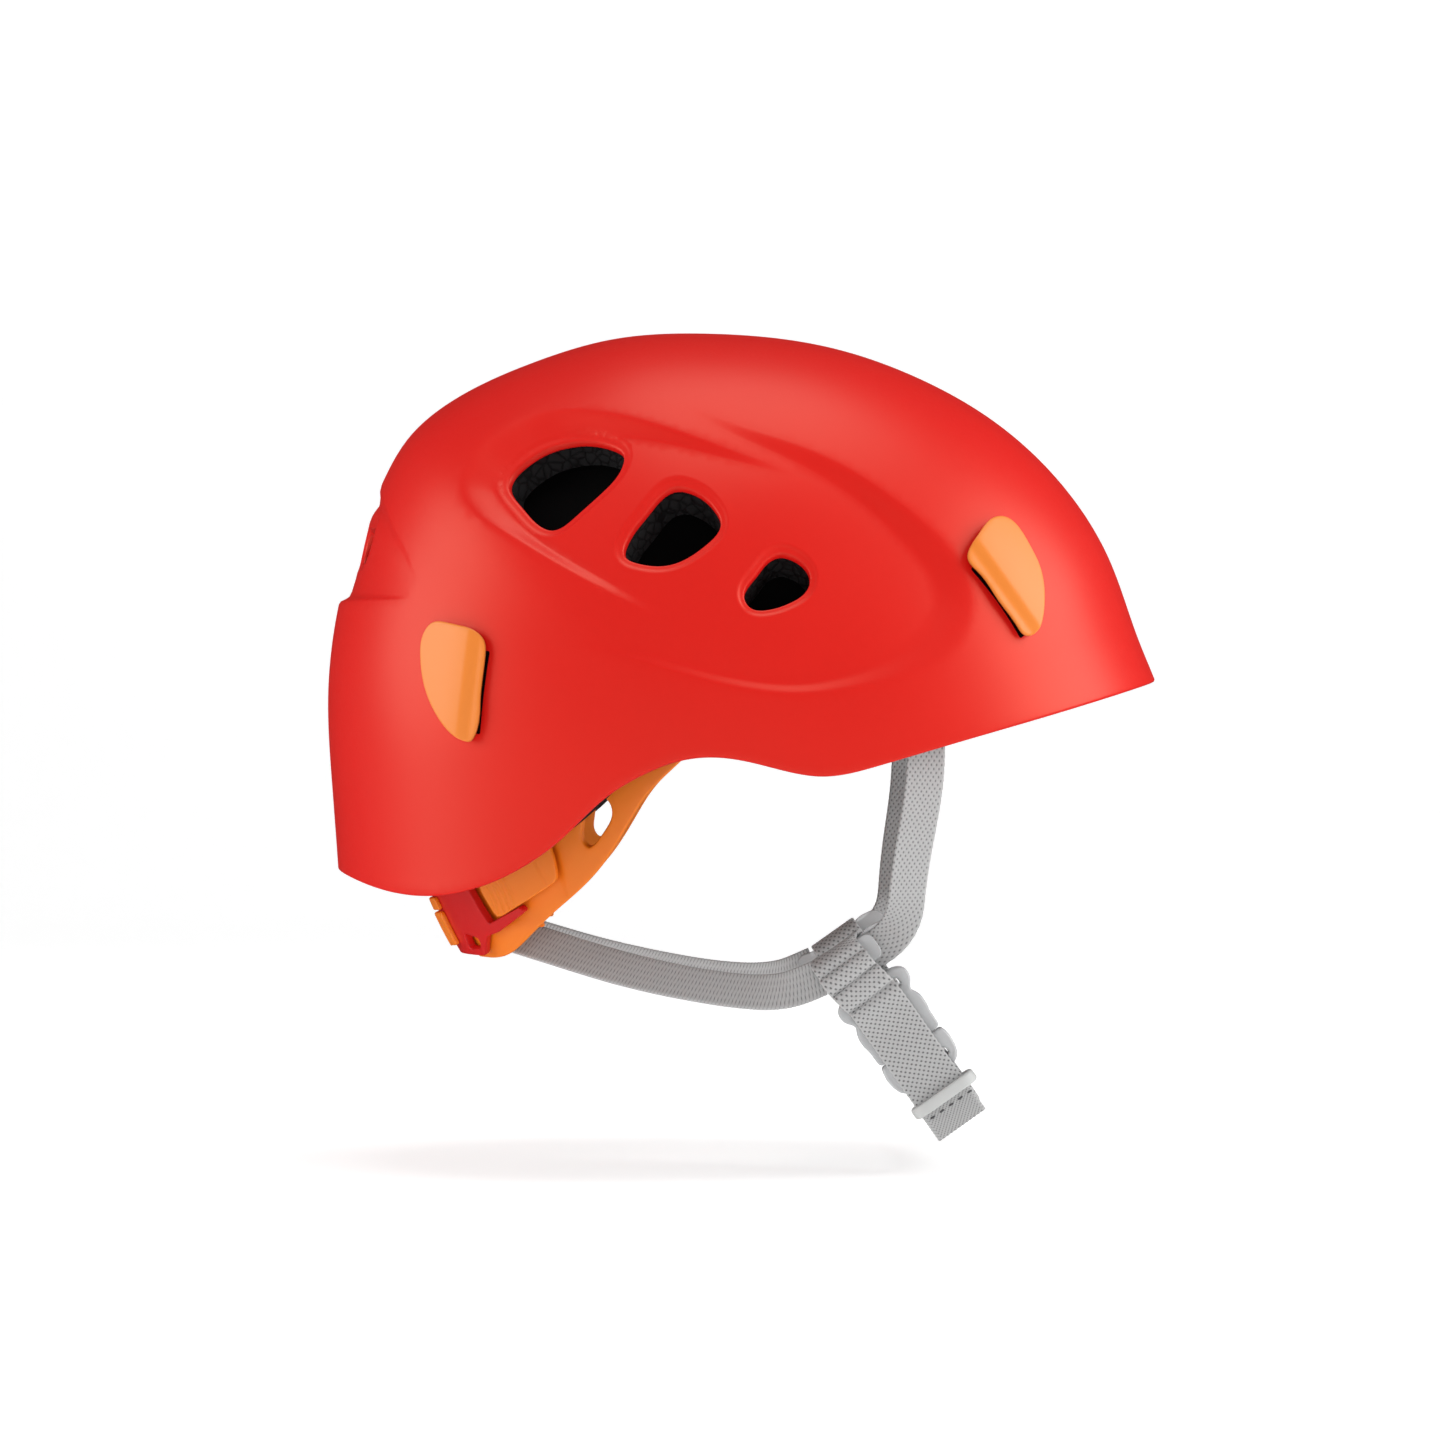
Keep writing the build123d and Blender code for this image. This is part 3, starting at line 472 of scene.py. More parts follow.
def add_mesh(name, points, faces, material):
    """Object at the origin with a closed mesh in metres, its faces turned outwards."""
    mesh = bpy.data.meshes.new(name)
    mesh.from_pydata((np.asarray(points) * MM).tolist(), [], [list(map(int, f)) for f in faces])
    work = bmesh.new()
    work.from_mesh(mesh)
    bmesh.ops.remove_doubles(work, verts=work.verts, dist=1e-7)
    loose = [v for v in work.verts if not v.link_faces]
    bmesh.ops.delete(work, geom=loose, context="VERTS")
    bmesh.ops.recalc_face_normals(work, faces=work.faces)
    work.to_mesh(mesh)
    work.free()
    mesh.shade_smooth()
    mesh.materials.append(material)
    return put_in_scene(name, mesh)


def sheet(form, loops, spacing, low, high, edge, extra=None, low_depth=None, high_depth=None):
    """Closed sheet laid on a form: points and faces.

    loops are the flat outline and its holes. low and high are depths of the two faces, edge is the
    radius of the rounded edge, and low_depth and high_depth add relief to the faces."""
    low_depth = low_depth or (lambda flat: np.zeros(len(flat)))
    high_depth = high_depth or (lambda flat: np.zeros(len(flat)))
    face_loops = [loop - outward(loop) * edge * (1 if i == 0 else -1) for i, loop in enumerate(loops)]
    inner = lattice(face_loops, spacing, extra=extra)
    flat, triangles = filled(face_loops, inner)
    points = [form.place(flat, high + high_depth(flat)), form.place(flat, low + low_depth(flat))]
    count = len(flat)
    faces = [tuple(t) for t in triangles] + [tuple(t[::-1] + count) for t in triangles]
    total, start = 2 * count, 0
    turn = [(math.radians(a), 1) for a in (22, 45, 67, 90)] + [(math.radians(a), -1) for a in (90, 67, 45, 22)]
    step = math.copysign(edge, high - low)
    for i, loop in enumerate(loops):
        size, rings = len(loop), []
        lift, drop = high_depth(face_loops[i]), low_depth(face_loops[i])
        for angle, side in turn:
            moved = face_loops[i] + outward(loop) * edge * math.sin(angle) * (1 if i == 0 else -1)
            fall = step * (1 - math.cos(angle))
            depth = high + lift - fall if side == 1 else low + drop + fall
            points.append(form.place(moved, depth))
            rings.append(np.arange(total, total + size))
            total += size
        chain = [np.arange(start, start + size)] + rings + [np.arange(count + start, count + start + size)]
        for first, second in zip(chain, chain[1:]):
            for a in range(size):
                b = (a + 1) % size
                faces.append((first[a], first[b], second[b], second[a]))
        start += size
    return np.concatenate(points), faces


def joined(parts):
    """Points and faces of several shapes as one."""
    points, faces, start = [], [], 0
    for p, f in parts:
        points.append(p)
        faces += [tuple(np.array(face) + start) for face in f]
        start += len(p)
    return np.concatenate(points), faces


# ---------------------------------------------------------------- node helpers

def add_node(tree, kind, values=None, **settings):
    """Node with its settings and the values or links of its named inputs."""
    node = tree.nodes.new(kind)
    for name, value in settings.items():
        setattr(node, name, value)
    for name, value in (values or {}).items():
        if isinstance(value, bpy.types.NodeSocket):
            tree.links.new(value, node.inputs[name])
        else:
            node.inputs[name].default_value = value
    return node


def calculate(tree, operation, first, second=0.0):
    return add_node(tree, "ShaderNodeMath", {0: first, 1: second}, operation=operation).outputs[0]


def start_tree(name, sockets):
    """Geometry node tree with named inputs after its geometry; returns it and its input node."""
    tree = bpy.data.node_groups.new(name, "GeometryNodeTree")
    tree.interface.new_socket("Geometry", in_out="INPUT", socket_type="NodeSocketGeometry")
    for label, kind, value in sockets:
        socket = tree.interface.new_socket(label, in_out="INPUT", socket_type=kind)
        if value is not None:
            socket.default_value = value
    tree.interface.new_socket("Geometry", in_out="OUTPUT", socket_type="NodeSocketGeometry")
    return tree, tree.nodes.new("NodeGroupInput")


def end_tree(tree, geometry, material):
    """Realize Instances and Set Material close every tree."""
    real = add_node(tree, "GeometryNodeRealizeInstances", {"Geometry": geometry})
    painted = add_node(tree, "GeometryNodeSetMaterial", {"Geometry": real.outputs[0], "Material": material})
    out = tree.nodes.new("NodeGroupOutput")
    tree.links.new(painted.outputs[0], out.inputs[0])


def weave_tree():
    """Raises the yarns of a webbing from the flat strap mesh, whose UV map is in metres."""
    found = bpy.data.node_groups.get("Webbing weave")
    if found:
        return found
    tree, given = start_tree("Webbing weave", [
        ("Pitch Across", "NodeSocketFloat", 1.15 * MM), ("Pitch Along", "NodeSocketFloat", 1.6 * MM),
        ("Depth", "NodeSocketFloat", 0.12 * MM), ("Twill", "NodeSocketFloat", 0.0),
        ("Material", "NodeSocketMaterial", None)])
    uv = add_node(tree, "GeometryNodeInputNamedAttribute", {"Name": "UVMap"}, data_type="FLOAT_VECTOR")
    parts = add_node(tree, "ShaderNodeSeparateXYZ", {0: uv.outputs[0]})
    turn = 2 * math.pi
    across = calculate(tree, "MULTIPLY", calculate(tree, "DIVIDE", parts.outputs[0],
                                                   given.outputs["Pitch Across"]), turn)
    along = calculate(tree, "MULTIPLY", calculate(tree, "DIVIDE", parts.outputs[1],
                                                  given.outputs["Pitch Along"]), turn)
    knit = calculate(tree, "MULTIPLY", calculate(tree, "COSINE", across), calculate(tree, "COSINE", along))
    diagonal = calculate(tree, "SINE", calculate(tree, "ADD", across, along))
    plain = calculate(tree, "MULTIPLY", knit, calculate(tree, "SUBTRACT", 1.0, given.outputs["Twill"]))
    height = calculate(tree, "ADD", plain, calculate(tree, "MULTIPLY", diagonal, given.outputs["Twill"]))
    normal = add_node(tree, "GeometryNodeInputNormal")
    lift = calculate(tree, "MULTIPLY", height, given.outputs["Depth"])
    offset = add_node(tree, "ShaderNodeVectorMath", {0: normal.outputs[0], "Scale": lift}, operation="SCALE")
    moved = add_node(tree, "GeometryNodeSetPosition", {"Geometry": given.outputs[0],
                                                       "Offset": offset.outputs[0]})
    # The yarn height is kept for the webbing material, which paints shade where it is low.
    kept = add_node(tree, "GeometryNodeStoreNamedAttribute",
                    {"Geometry": moved.outputs[0], "Name": "yarn", "Value": height},
                    data_type="FLOAT", domain="POINT")
    end_tree(tree, kept.outputs[0], given.outputs["Material"])
    return tree


def stitch_tree():
    """Stitches, seen as short rounded threads, at even steps along an open line of edges."""
    found = bpy.data.node_groups.get("Stitch row")
    if found:
        return found
    tree, given = start_tree("Stitch row", [
        ("Step", "NodeSocketFloat", 2.6 * MM), ("Length", "NodeSocketFloat", 1.7 * MM),
        ("Thickness", "NodeSocketFloat", 0.5 * MM), ("Material", "NodeSocketMaterial", None)])
    curve = add_node(tree, "GeometryNodeMeshToCurve", {"Mesh": given.outputs[0]})
    even = add_node(tree, "GeometryNodeResampleCurve", {"Curve": curve.outputs[0],
                                                        "Length": given.outputs["Step"]}, mode="LENGTH")
    shape = add_node(tree, "GeometryNodeMeshUVSphere", {"Segments": 8, "Rings": 6, "Radius": 0.5})
    tangent = add_node(tree, "GeometryNodeInputTangent")
    turned = add_node(tree, "FunctionNodeAlignRotationToVector", {"Vector": tangent.outputs[0]}, axis="Z")
    size = add_node(tree, "ShaderNodeCombineXYZ", {0: given.outputs["Thickness"],
                                                   1: given.outputs["Thickness"],
                                                   2: given.outputs["Length"]})
    laid = add_node(tree, "GeometryNodeInstanceOnPoints",
                    {"Points": even.outputs[0], "Instance": shape.outputs[0],
                     "Rotation": turned.outputs[0], "Scale": size.outputs[0]})
    end_tree(tree, laid.outputs[0], given.outputs["Material"])
    return tree


def run_tree(piece, tree, values):
    """Runs a geometry node tree on a piece, and keeps the result as its plain mesh."""
    modifier = piece.modifiers.new(tree.name, "NODES")
    modifier.node_group = tree
    for item in tree.interface.items_tree:
        if item.in_out == "INPUT" and item.name in values:
            modifier[item.identifier] = values[item.name]
    graph = bpy.context.evaluated_depsgraph_get()
    mesh = bpy.data.meshes.new_from_object(piece.evaluated_get(graph), preserve_all_data_layers=True,
                                           depsgraph=graph)
    piece.modifiers.remove(modifier)
    old = piece.data
    piece.data = mesh
    bpy.data.meshes.remove(old)
    mesh.name = piece.name
    mesh.shade_smooth()
    return piece


# ---------------------------------------------------------------- materials

def surface(name, colour, roughness, **sockets):
    """New material with its shader's own sockets set; returns the material, tree and shader."""
    material = bpy.data.materials.new(name)
    material.use_nodes = True
    tree = material.node_tree
    shader = tree.nodes["Principled BSDF"]
    shader.inputs["Base Color"].default_value = (*colour, 1.0)
    shader.inputs["Roughness"].default_value = roughness
    for key, value in sockets.items():
        shader.inputs[key.replace("_", " ")].default_value = value
    return material, tree, shader


def noise_at(tree, scale, detail=3.0, rough=0.5):
    place = add_node(tree, "ShaderNodeTexCoord").outputs["Object"]
    return add_node(tree, "ShaderNodeTexNoise", {"Vector": place, "Scale": scale, "Detail": detail,
                                                 "Roughness": rough}).outputs[0]


def blend_colours(tree, share, low, high):
    mix = add_node(tree, "ShaderNodeMix", {0: share}, data_type="RGBA")
    for socket, value in ((6, low), (7, high)):
        if isinstance(value, bpy.types.NodeSocket):
            tree.links.new(value, mix.inputs[socket])
        else:
            mix.inputs[socket].default_value = (*value, 1.0)
    return mix.outputs[2]


def bump(tree, shader, height, distance, strength=1.0, after=None):
    values = {"Height": height, "Distance": distance, "Strength": strength}
    if after is not None:
        values["Normal"] = after
    made = add_node(tree, "ShaderNodeBump", values).outputs[0]
    tree.links.new(made, shader.inputs["Normal"])
    return made


def moulded_plastic(name, colour, roughness, grain=0.012, shade=0.93, **sockets):
    """Injection-moulded plastic: slight cloudiness, fine grain and uneven gloss."""
    material, tree, shader = surface(name, colour, roughness, **sockets)
    cloud = noise_at(tree, 22.0, 4.0)
    tone = blend_colours(tree, cloud, tuple(c * shade for c in colour), colour)
    tree.links.new(tone, shader.inputs["Base Color"])
    fine = noise_at(tree, 900.0, 2.0)
    gloss = add_node(tree, "ShaderNodeMapRange", {0: fine, 3: roughness - 0.04, 4: roughness + 0.05})
    tree.links.new(gloss.outputs[0], shader.inputs["Roughness"])
    grained = bump(tree, shader, noise_at(tree, 1500.0, 2.0), grain * MM)
    bump(tree, shader, noise_at(tree, 60.0, 1.0), 0.05 * MM, 0.5, after=grained)
    return material


def bead_foam(name, colour):
    """Moulded bead foam: fused beads with fine dark joins."""
    material, tree, shader = surface(name, colour, 0.8)
    place = add_node(tree, "ShaderNodeTexCoord").outputs["Object"]
    beads = add_node(tree, "ShaderNodeTexVoronoi", {"Vector": place, "Scale": 330.0},
                     feature="DISTANCE_TO_EDGE").outputs["Distance"]
    share = add_node(tree, "ShaderNodeMapRange", {0: beads, 1: 0.0, 2: 0.16}).outputs[0]
    tree.links.new(blend_colours(tree, share, tuple(c * 0.4 for c in colour), colour),
                   shader.inputs["Base Color"])
    bump(tree, shader, share, 0.25 * MM, 0.8)
    return material


def yarn_webbing(name, high, low):
    """Polyester webbing: light yarns with fibres across each yarn, and painted shade in the gaps where the
    weave dips between them.
    """
    material, tree, shader = surface(name, high, 0.72, Sheen_Weight=0.25, Sheen_Roughness=0.5)
    yarn = add_node(tree, "ShaderNodeAttribute", attribute_name="yarn").outputs["Fac"]
    # Where the weave dips between yarns the colour turns to the dark gap colour: painted shade.
    share = add_node(tree, "ShaderNodeMapRange", {0: yarn, 1: -0.95, 2: -0.05},
                     interpolation_type="SMOOTHSTEP").outputs[0]
    fibre = noise_at(tree, 2600.0, 2.0, 0.7)
    light = blend_colours(tree, fibre, tuple(c * 0.8 for c in high), tuple(min(1, c * 1.12) for c in high))
    tree.links.new(blend_colours(tree, share, low, light), shader.inputs["Base Color"])
    bump(tree, shader, fibre, 0.05 * MM, 0.7)
    return material


def brushed_fabric(name, colour):
    """Brushed knit over a comfort pad."""
    material, tree, shader = surface(name, colour, 0.9, Sheen_Weight=0.5, Sheen_Roughness=0.45)
    place = add_node(tree, "ShaderNodeTexCoord").outputs["Object"]
    knit = add_node(tree, "ShaderNodeTexVoronoi", {"Vector": place, "Scale": 900.0}).outputs["Distance"]
    fuzz = noise_at(tree, 1800.0, 3.0, 0.7)
    both = calculate(tree, "ADD", knit, fuzz)
    tree.links.new(blend_colours(tree, fuzz, tuple(c * 0.6 for c in colour),
                                 tuple(c * 1.5 for c in colour)), shader.inputs["Base Color"])
    bump(tree, shader, both, 0.16 * MM, 0.8)
    return material


FINISHES = {}


def make_finishes(colours):
    FINISHES.update({
        "shell": moulded_plastic("Shell red", tuple(colours.shell), 0.4, Specular_IOR_Level=0.8,
                                 Specular_Tint=(1.0, 0.6, 0.4, 1.0)),
        "clip": moulded_plastic("Clip orange", tuple(colours.clip), 0.38),
        "headband": moulded_plastic("Headband orange", tuple(colours.headband), 0.4,
                                    Subsurface_Weight=0.08, Subsurface_Scale=0.002),
        "carriage": moulded_plastic("Carriage red", tuple(colours.carriage), 0.36),
        "pin": moulded_plastic("Pin grey", (0.12, 0.12, 0.125), 0.45),
        "liner": bead_foam("Liner foam", (0.018, 0.018, 0.019)),
        # Near-black, barely shiny finish of the sheets behind the side vents and under the clip edges: painted
        # shade.
        "painted_shade": moulded_plastic("Vent painted shade", (0.002, 0.002, 0.002), 0.85, Specular_IOR_Level=0.1),
        "pad": brushed_fabric("Pad knit", (0.028, 0.029, 0.032)),
        # The dark grey is painted shade in the gaps between the yarns.
        "webbing": yarn_webbing("Webbing grey", tuple(colours.webbing), (0.09, 0.09, 0.092)),
        "thread": moulded_plastic("Thread grey", (0.11, 0.11, 0.115), 0.7, grain=0.05),
        "clear": moulded_plastic("Clear grey", (0.78, 0.79, 0.8), 0.2, Transmission_Weight=0.4, IOR=1.46),
        "keeper": moulded_plastic("Keeper rubber", (0.62, 0.63, 0.62), 0.5),
    })


# ---------------------------------------------------------------- pieces


def finish_piece(name, shape, finish, body, *nodes, slot=None):
    """Piece of one finish that rides on one body, in place of its CAD nodes."""
    piece = add_mesh(name, *shape, FINISHES[finish])
    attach(piece, body)
    if nodes:
        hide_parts(*nodes)
    return piece


def both_sides(shape):
    """A right-hand shape and its mirror copy on the left, each after its label."""
    points, faces = shape
    return ("right", shape), ("left", (points * np.array([1, -1, 1]), faces))


# ---------------------------------------------------------------- shell and liner

def step_depth(points, outline, fade, shade=None):
    """Depth of a pressed recess at side-view points, from the line along the middle of its edge."""
    loop = closed_curve(outline, 200)
    gap, place = distance_to(points, loop[:, :2])
    gap = np.where(inside(points, loop[:, :2]), -gap, gap)
    width = np.interp(place, np.arange(201), np.append(loop[:, 2], loop[0, 2]))
    origin, normal, length = fade
    fall = smooth_step((points - np.array(origin)) @ np.array(normal) / length)
    t = np.clip(0.5 - gap / width, 0, 1)
    ramp = 0.7 * t + 0.3 * smooth_step(t)
    return RECESS_DEPTH * fall * ramp * (1.0 if shade is None else shade(points))


def scoop_depth(point):
    """Depth of the recess across the back, under the trailing edge of the dome."""
    side = np.abs(point[:, 1])
    line = natural_curve(SCOOP_TOP, 200)
    top = np.interp(side, line[:, 0], line[:, 1])
    up = (point[:, 2] - SCOOP_FOOT) / (top - SCOOP_FOOT)
    places, depths = zip(*SCOOP_SECTION)
    depth = np.interp(up, places, depths)
    fade = np.cos(0.5 * math.pi * np.clip(side / SCOOP_SIDE, 0, 1)) ** 0.9
    return np.where(point[:, 0] < -60, depth * fade, 0.0)


def pressed_flat(dome, outline, side, depth=None):
    """Flat outline that still matches its side view once it has been moved to a depth."""
    aim = outline
    for _ in range(4):
        flat = dome.flat_from_side(aim, side)
        moved = dome.place(flat, pressed_depth(dome, flat) if depth is None else depth)
        aim = aim + outline - moved[:, [0, 2]]
    return dome.flat_from_side(aim, side)


def vent_loops(dome, grow=0.0):
    """Flat outlines of all the vents, grown outwards."""
    loops = []
    for outline in SIDE_VENTS:
        for side in (-1, 1):
            flat = pressed_flat(dome, closed_curve(outline, 160), side)
            loops.append(spaced(flat, 84, closed=True))
    half, round_end = REAR_VENT["length"] / 2 - REAR_VENT["height"] / 2, REAR_VENT["height"] / 2
    turns = np.linspace(-math.pi / 2, math.pi / 2, 17)
    right = [(half + round_end * math.cos(a), round_end * math.sin(a)) for a in turns]
    left = [(-half - round_end * math.cos(a), -round_end * math.sin(a)) for a in turns]
    slot = np.array(right + left)
    for side in (-1, 1):
        moved = slot + np.array([side * REAR_VENT["y"], REAR_VENT["z"]])
        loops.append(spaced(dome.flat_from_rear(spaced(moved, 120, closed=True)), 72, closed=True))
    return [loop + outward(loop) * grow for loop in loops]


def pressed_depth(dome, flat):
    """Depth of the recesses and the scoop at flat places of the dome."""
    point = dome.place(flat)
    view = point[:, [0, 2]]
    beside = smooth_step((np.abs(point[:, 1]) - 12) / 14)
    shade = lambda p: 0.45 + 0.55 * smooth_step((p[:, 1] - 8) / 45)
    depth = step_depth(view, REAR_RECESS, REAR_FADE)
    depth += step_depth(view, FRONT_RECESS, FRONT_FADE, shade)
    return depth * beside + scoop_depth(point)


def lip_depth(flat, vents):
    """Rolled lip that sinks the surface a little round each vent."""
    depth = np.zeros(len(flat))
    for loop in vents:
        near = np.linalg.norm(flat - loop.mean(axis=0), axis=1) < 34
        gap, _ = distance_to(flat[near], loop)
        depth[near] = np.maximum(depth[near], 0.6 * (1 - smooth_step((gap - 1.7) / 1.0))
                                 + 0.5 * (1 - np.clip(gap / 1.6, 0, 1)) ** 2)
    return depth


def crease_points(dome):
    """Extra flat places along the edges of the pressed shapes, so that they stay crisp."""
    made = []
    for outline in (REAR_RECESS, FRONT_RECESS):
        loop = closed_curve(outline, 330)
        normal = outward(loop[:, :2])
        for share in (-0.56, -0.38, -0.2, 0, 0.2, 0.38, 0.56):
            row = loop[:, :2] + normal * (loop[:, 2] * share)[:, None]
            made += [dome.flat_from_side(row, side) for side in (-1, 1)]
    line = natural_curve(SCOOP_TOP[:-1], 80)
    for share in (-0.01, 0.02, 0.05, 0.09, 0.14, 0.82, 0.88, 0.91, 0.94, 0.97, 1.0, 1.03):
        height = SCOOP_FOOT + (line[:, 1] - SCOOP_FOOT) * share
        for side in (-1, 1):
            made.append(dome.flat_from_rear(np.stack([side * line[:, 0], height], axis=1)))
    points = np.concatenate(made)
    _, first = np.unique(np.floor(points / 0.7), axis=0, return_index=True)
    return points[np.sort(first)]


def clear_of(points, loops, gap):
    """The points that lie at least a gap away from every loop, and inside the first."""
    keep = inside(points, loops[0])
    for i, loop in enumerate(loops):
        distance, _ = distance_to(points, loop)
        keep &= distance > gap
        if i:
            keep &= ~inside(points, loop)
    return points[keep]


def build_shell(settings):
    dome = Dome()
    vents = vent_loops(dome, SHELL_VENT_GROWTH)
    loops = [dome.rim(0.0, 560)] + vents
    extra = crease_points(dome)
    extra = np.concatenate([extra] + [loop + outward(loop) * grow for loop in vents
                                      for grow in (1.5, 2.1, 2.7, 3.4)])
    extra = clear_of(extra, [loop + outward(loop) * (0.9 if i else -0.9) for i, loop in enumerate(loops)],
                     0.45)
    outer = lambda flat: pressed_depth(dome, flat) + lip_depth(flat, vents)
    inner = lambda flat: pressed_depth(dome, flat) + 1.2 * lip_depth(flat, vents)
    shape = sheet(dome, loops, settings.spacing / MM, WALL, 0.0, SHELL_EDGE, extra, inner, outer)
    finish_piece("helmet_shell", shape, "shell", "shell", "outer_shell")


def build_liner():
    dome = Dome(LINER_INSET)
    loops = [dome.rim(LINER_RISE, 300)] + vent_loops(dome, LINER_VENT_GROWTH)
    pressed = lambda flat: 0.9 * pressed_depth(dome, flat)
    shape = sheet(dome, loops, LINER_SPACING, LINER_WALL, 0.0, LINER_EDGE, high_depth=pressed)
    finish_piece("foam_liner_body", shape, "liner", "shell", "foam_liner")


def build_vent_shade():
    """Flat black sheet, slightly bulged, behind each side vent inside the liner: painted shade in the depth of
    the vent.
    """
    dome = Dome(LINER_INSET)
    for i, loop in enumerate(vent_loops(dome, VENT_SHADE_GROWTH)[:2 * len(SIDE_VENTS)]):
        label = ("right", "left")[i % 2]
        bulge = lambda flat: 1.2 * np.exp(-(np.linalg.norm(flat - flat.mean(axis=0), axis=1) / 9) ** 2)
        shape = sheet(dome, [loop], 1.6, *VENT_SHADE_DEPTHS, VENT_SHADE_EDGE, None, bulge, bulge)
        finish_piece(f"vent_painted_shade_{i // 2 + 1}_{label}", shape, "painted_shade", "shell", slot="pad")


# ---------------------------------------------------------------- headlamp clips

def build_clip(name, outline, edge):
    """Hook-shaped clip: a bevel down to its straight edge and a raised underside along it, with a flat black
    strip on the shell under and beside that edge as painted shadow of the slot.
    """
    dome = Dome()
    start, end = np.array(edge[0]), np.array(edge[1])
    along = (end - start) / np.linalg.norm(end - start)
    across = np.array([-along[1], along[0]])
    centre = np.mean(outline, axis=0)
    across *= np.sign((centre - start) @ across)

    def from_edge(flat):
        return (dome.place(flat)[:, [0, 2]] - start) @ across

    def top(flat):
        gap = from_edge(flat)
        bevel = 1.25 * (1 - smooth_step((gap + 0.2) / 2.9))
        return bevel + 1.3 * smooth_step((gap - 2.5) / 16) ** 1.2

    def under(flat):
        return -2.1 * smooth_step((8.0 - from_edge(flat)) / 1.2)

    loop = spaced(pressed_flat(dome, closed_curve(outline, 200), -1, -2.6), 150, closed=True)
    shape = sheet(dome, [loop], 1.0, CLIP_FOOT, -CLIP_HEIGHT, CLIP_EDGE, None, under, top)
    # Flat black strip on the shell along the straight edge, partly under the clip: painted shadow of the slot.
    corners = [start - across * 1.5, end - across * 1.5, end + across * 5, start + across * 5]
    slot = rounded_polygon(dome.flat_from_side(np.array(corners), -1), 0.6, 90)
    dark = sheet(dome, [slot], 1.4, 0.6, -0.12, 0.2)
    for (side, hook), (_, shade) in zip(both_sides(shape), both_sides(dark)):
        finish_piece(f"{name}_{side}_slot", shade, "painted_shade", "shell", slot="liner")
        finish_piece(f"{name}_{side}_body", hook, "clip", "shell", f"{name}_{side}")


# ---------------------------------------------------------------- pads

def pad_piece(name, node, form, loop, body, low, high, edge, grooves):
    """Soft pad: a crowned closed form with sewn channels."""
    def crown(flat):
        gap, _ = distance_to(flat, loop)
        rise = 1.1 * np.sqrt(np.clip(1 - (1 - np.clip(gap / 11, 0, 1)) ** 2, 0, 1))
        sewn = sum(0.9 * np.exp(-((flat[:, axis] - value) / 0.9) ** 2) for axis, value in grooves)
        return np.sign(low - high) * (rise - 1.1 - sewn)

    shape = sheet(form, [loop], 1.6, low, high, edge, low_depth=crown)
    finish_piece(name, shape, "pad", body, node)


def build_pads():
    dome = Dome(LINER_INSET + LINER_WALL + 0.5)
    crown = rounded_polygon([(-47, -23), (27, -23), (27, 23), (-47, 23)], 12, 140)
    pad_piece("crown_pad_cushion", "crown_pad", dome, crown, "shell", *LINER_PAD, [(0, -22), (0, 2)])
    bent = rounded_polygon([(-52, 116), (52, 116), (52, 139), (-52, 139)], 9, 150)
    brow = np.stack([bent[:, 1] * np.cos(bent[:, 0] / 127), bent[:, 1] * np.sin(bent[:, 0] / 127)], axis=1)
    pad_piece("brow_pad_cushion", "brow_pad", dome, brow, "shell", *LINER_PAD, [(1, -20), (1, 20)])
    for side, label in ((-1, "right"), (1, "left")):
        loop = spaced(dome.flat_from_side(closed_curve(SIDE_PAD, 200), side), 120, closed=True)
        pad_piece(f"side_pad_{label}_cushion", f"side_pad_{label}", dome, loop, "shell", *LINER_PAD, [])


# ---------------------------------------------------------------- headband

def circle(centre, radius, count):
    turn = np.linspace(0, 2 * math.pi, count, endpoint=False)
    return np.stack([centre[0] + radius * np.cos(turn), centre[1] + radius * np.sin(turn)], axis=1)


def build_arm():
    """Headband arm with its drop-shaped hole and a facet before the tab."""
    form = HeadForm(RIGHT_POLE, ARM_THICKNESS)
    outer = spaced(form.flat_from_side(closed_curve(ARM, 420), -1), 300, closed=True)
    hole = spaced(form.flat_from_side(closed_curve(ARM_HOLE, 120), -1), 72, closed=True)
    pivot = spaced(form.flat_from_side(circle(PIVOT, 3.6, 60), -1), 40, closed=True)

    def relief(flat):
        view = form.seen(flat)
        facet = smooth_step((view @ np.array([0.97, 0.24]) + 64.5) / 2.2)
        return -0.7 * (1 - facet) * smooth_step((view[:, 1] + 62) / 4) + 0.15 * facet

    shape = sheet(form, [outer, hole, pivot], 1.7, 0.0, ARM_THICKNESS, 0.7, high_depth=relief)
    for label, arm in both_sides(shape):
        finish_piece(f"headband_arm_{label}", arm, "headband", "cradle", f"cradle_arm_{label}")


def build_latch():
    """Release tab with curved ridges at its rear end and a step down at its front end."""
    form = HeadForm(RIGHT_POLE, ARM_THICKNESS + LATCH_GAP + LATCH_THICKNESS)
    loop = spaced(form.flat_from_side(rounded_polygon(LATCH, 2.0, 200), -1), 150, closed=True)
    start, end = np.array(LATCH[0]), np.array(LATCH[6])
    along = (end - start) / np.linalg.norm(end - start)
    across = np.array([along[1], -along[0]])

    def relief(flat):
        point = form.seen(flat)
        gap = (point - start) @ across
        up = (point - start) @ along
        bow = gap + 0.9 * ((up - 7) / 7) ** 2
        ridges = 0.3 * (0.5 - 0.5 * np.cos(2 * math.pi * bow / 1.7)) * ((bow > 1.0) & (bow < 7.8))
        end_step = -0.35 * smooth_step((gap - 17.5) / 0.8)
        return ridges + end_step

    low = ARM_THICKNESS + LATCH_GAP
    shape = sheet(form, [loop], 0.6, low, low + LATCH_THICKNESS, 0.4, high_depth=relief)
    for label, tab in both_sides(shape):
        finish_piece(f"release_tab_{label}", tab, "headband", f"latch_{label}", f"latch_{label}")


def level_line(start, end, height, count=10):
    return [(y, height) for y in np.linspace(start, end, count)]


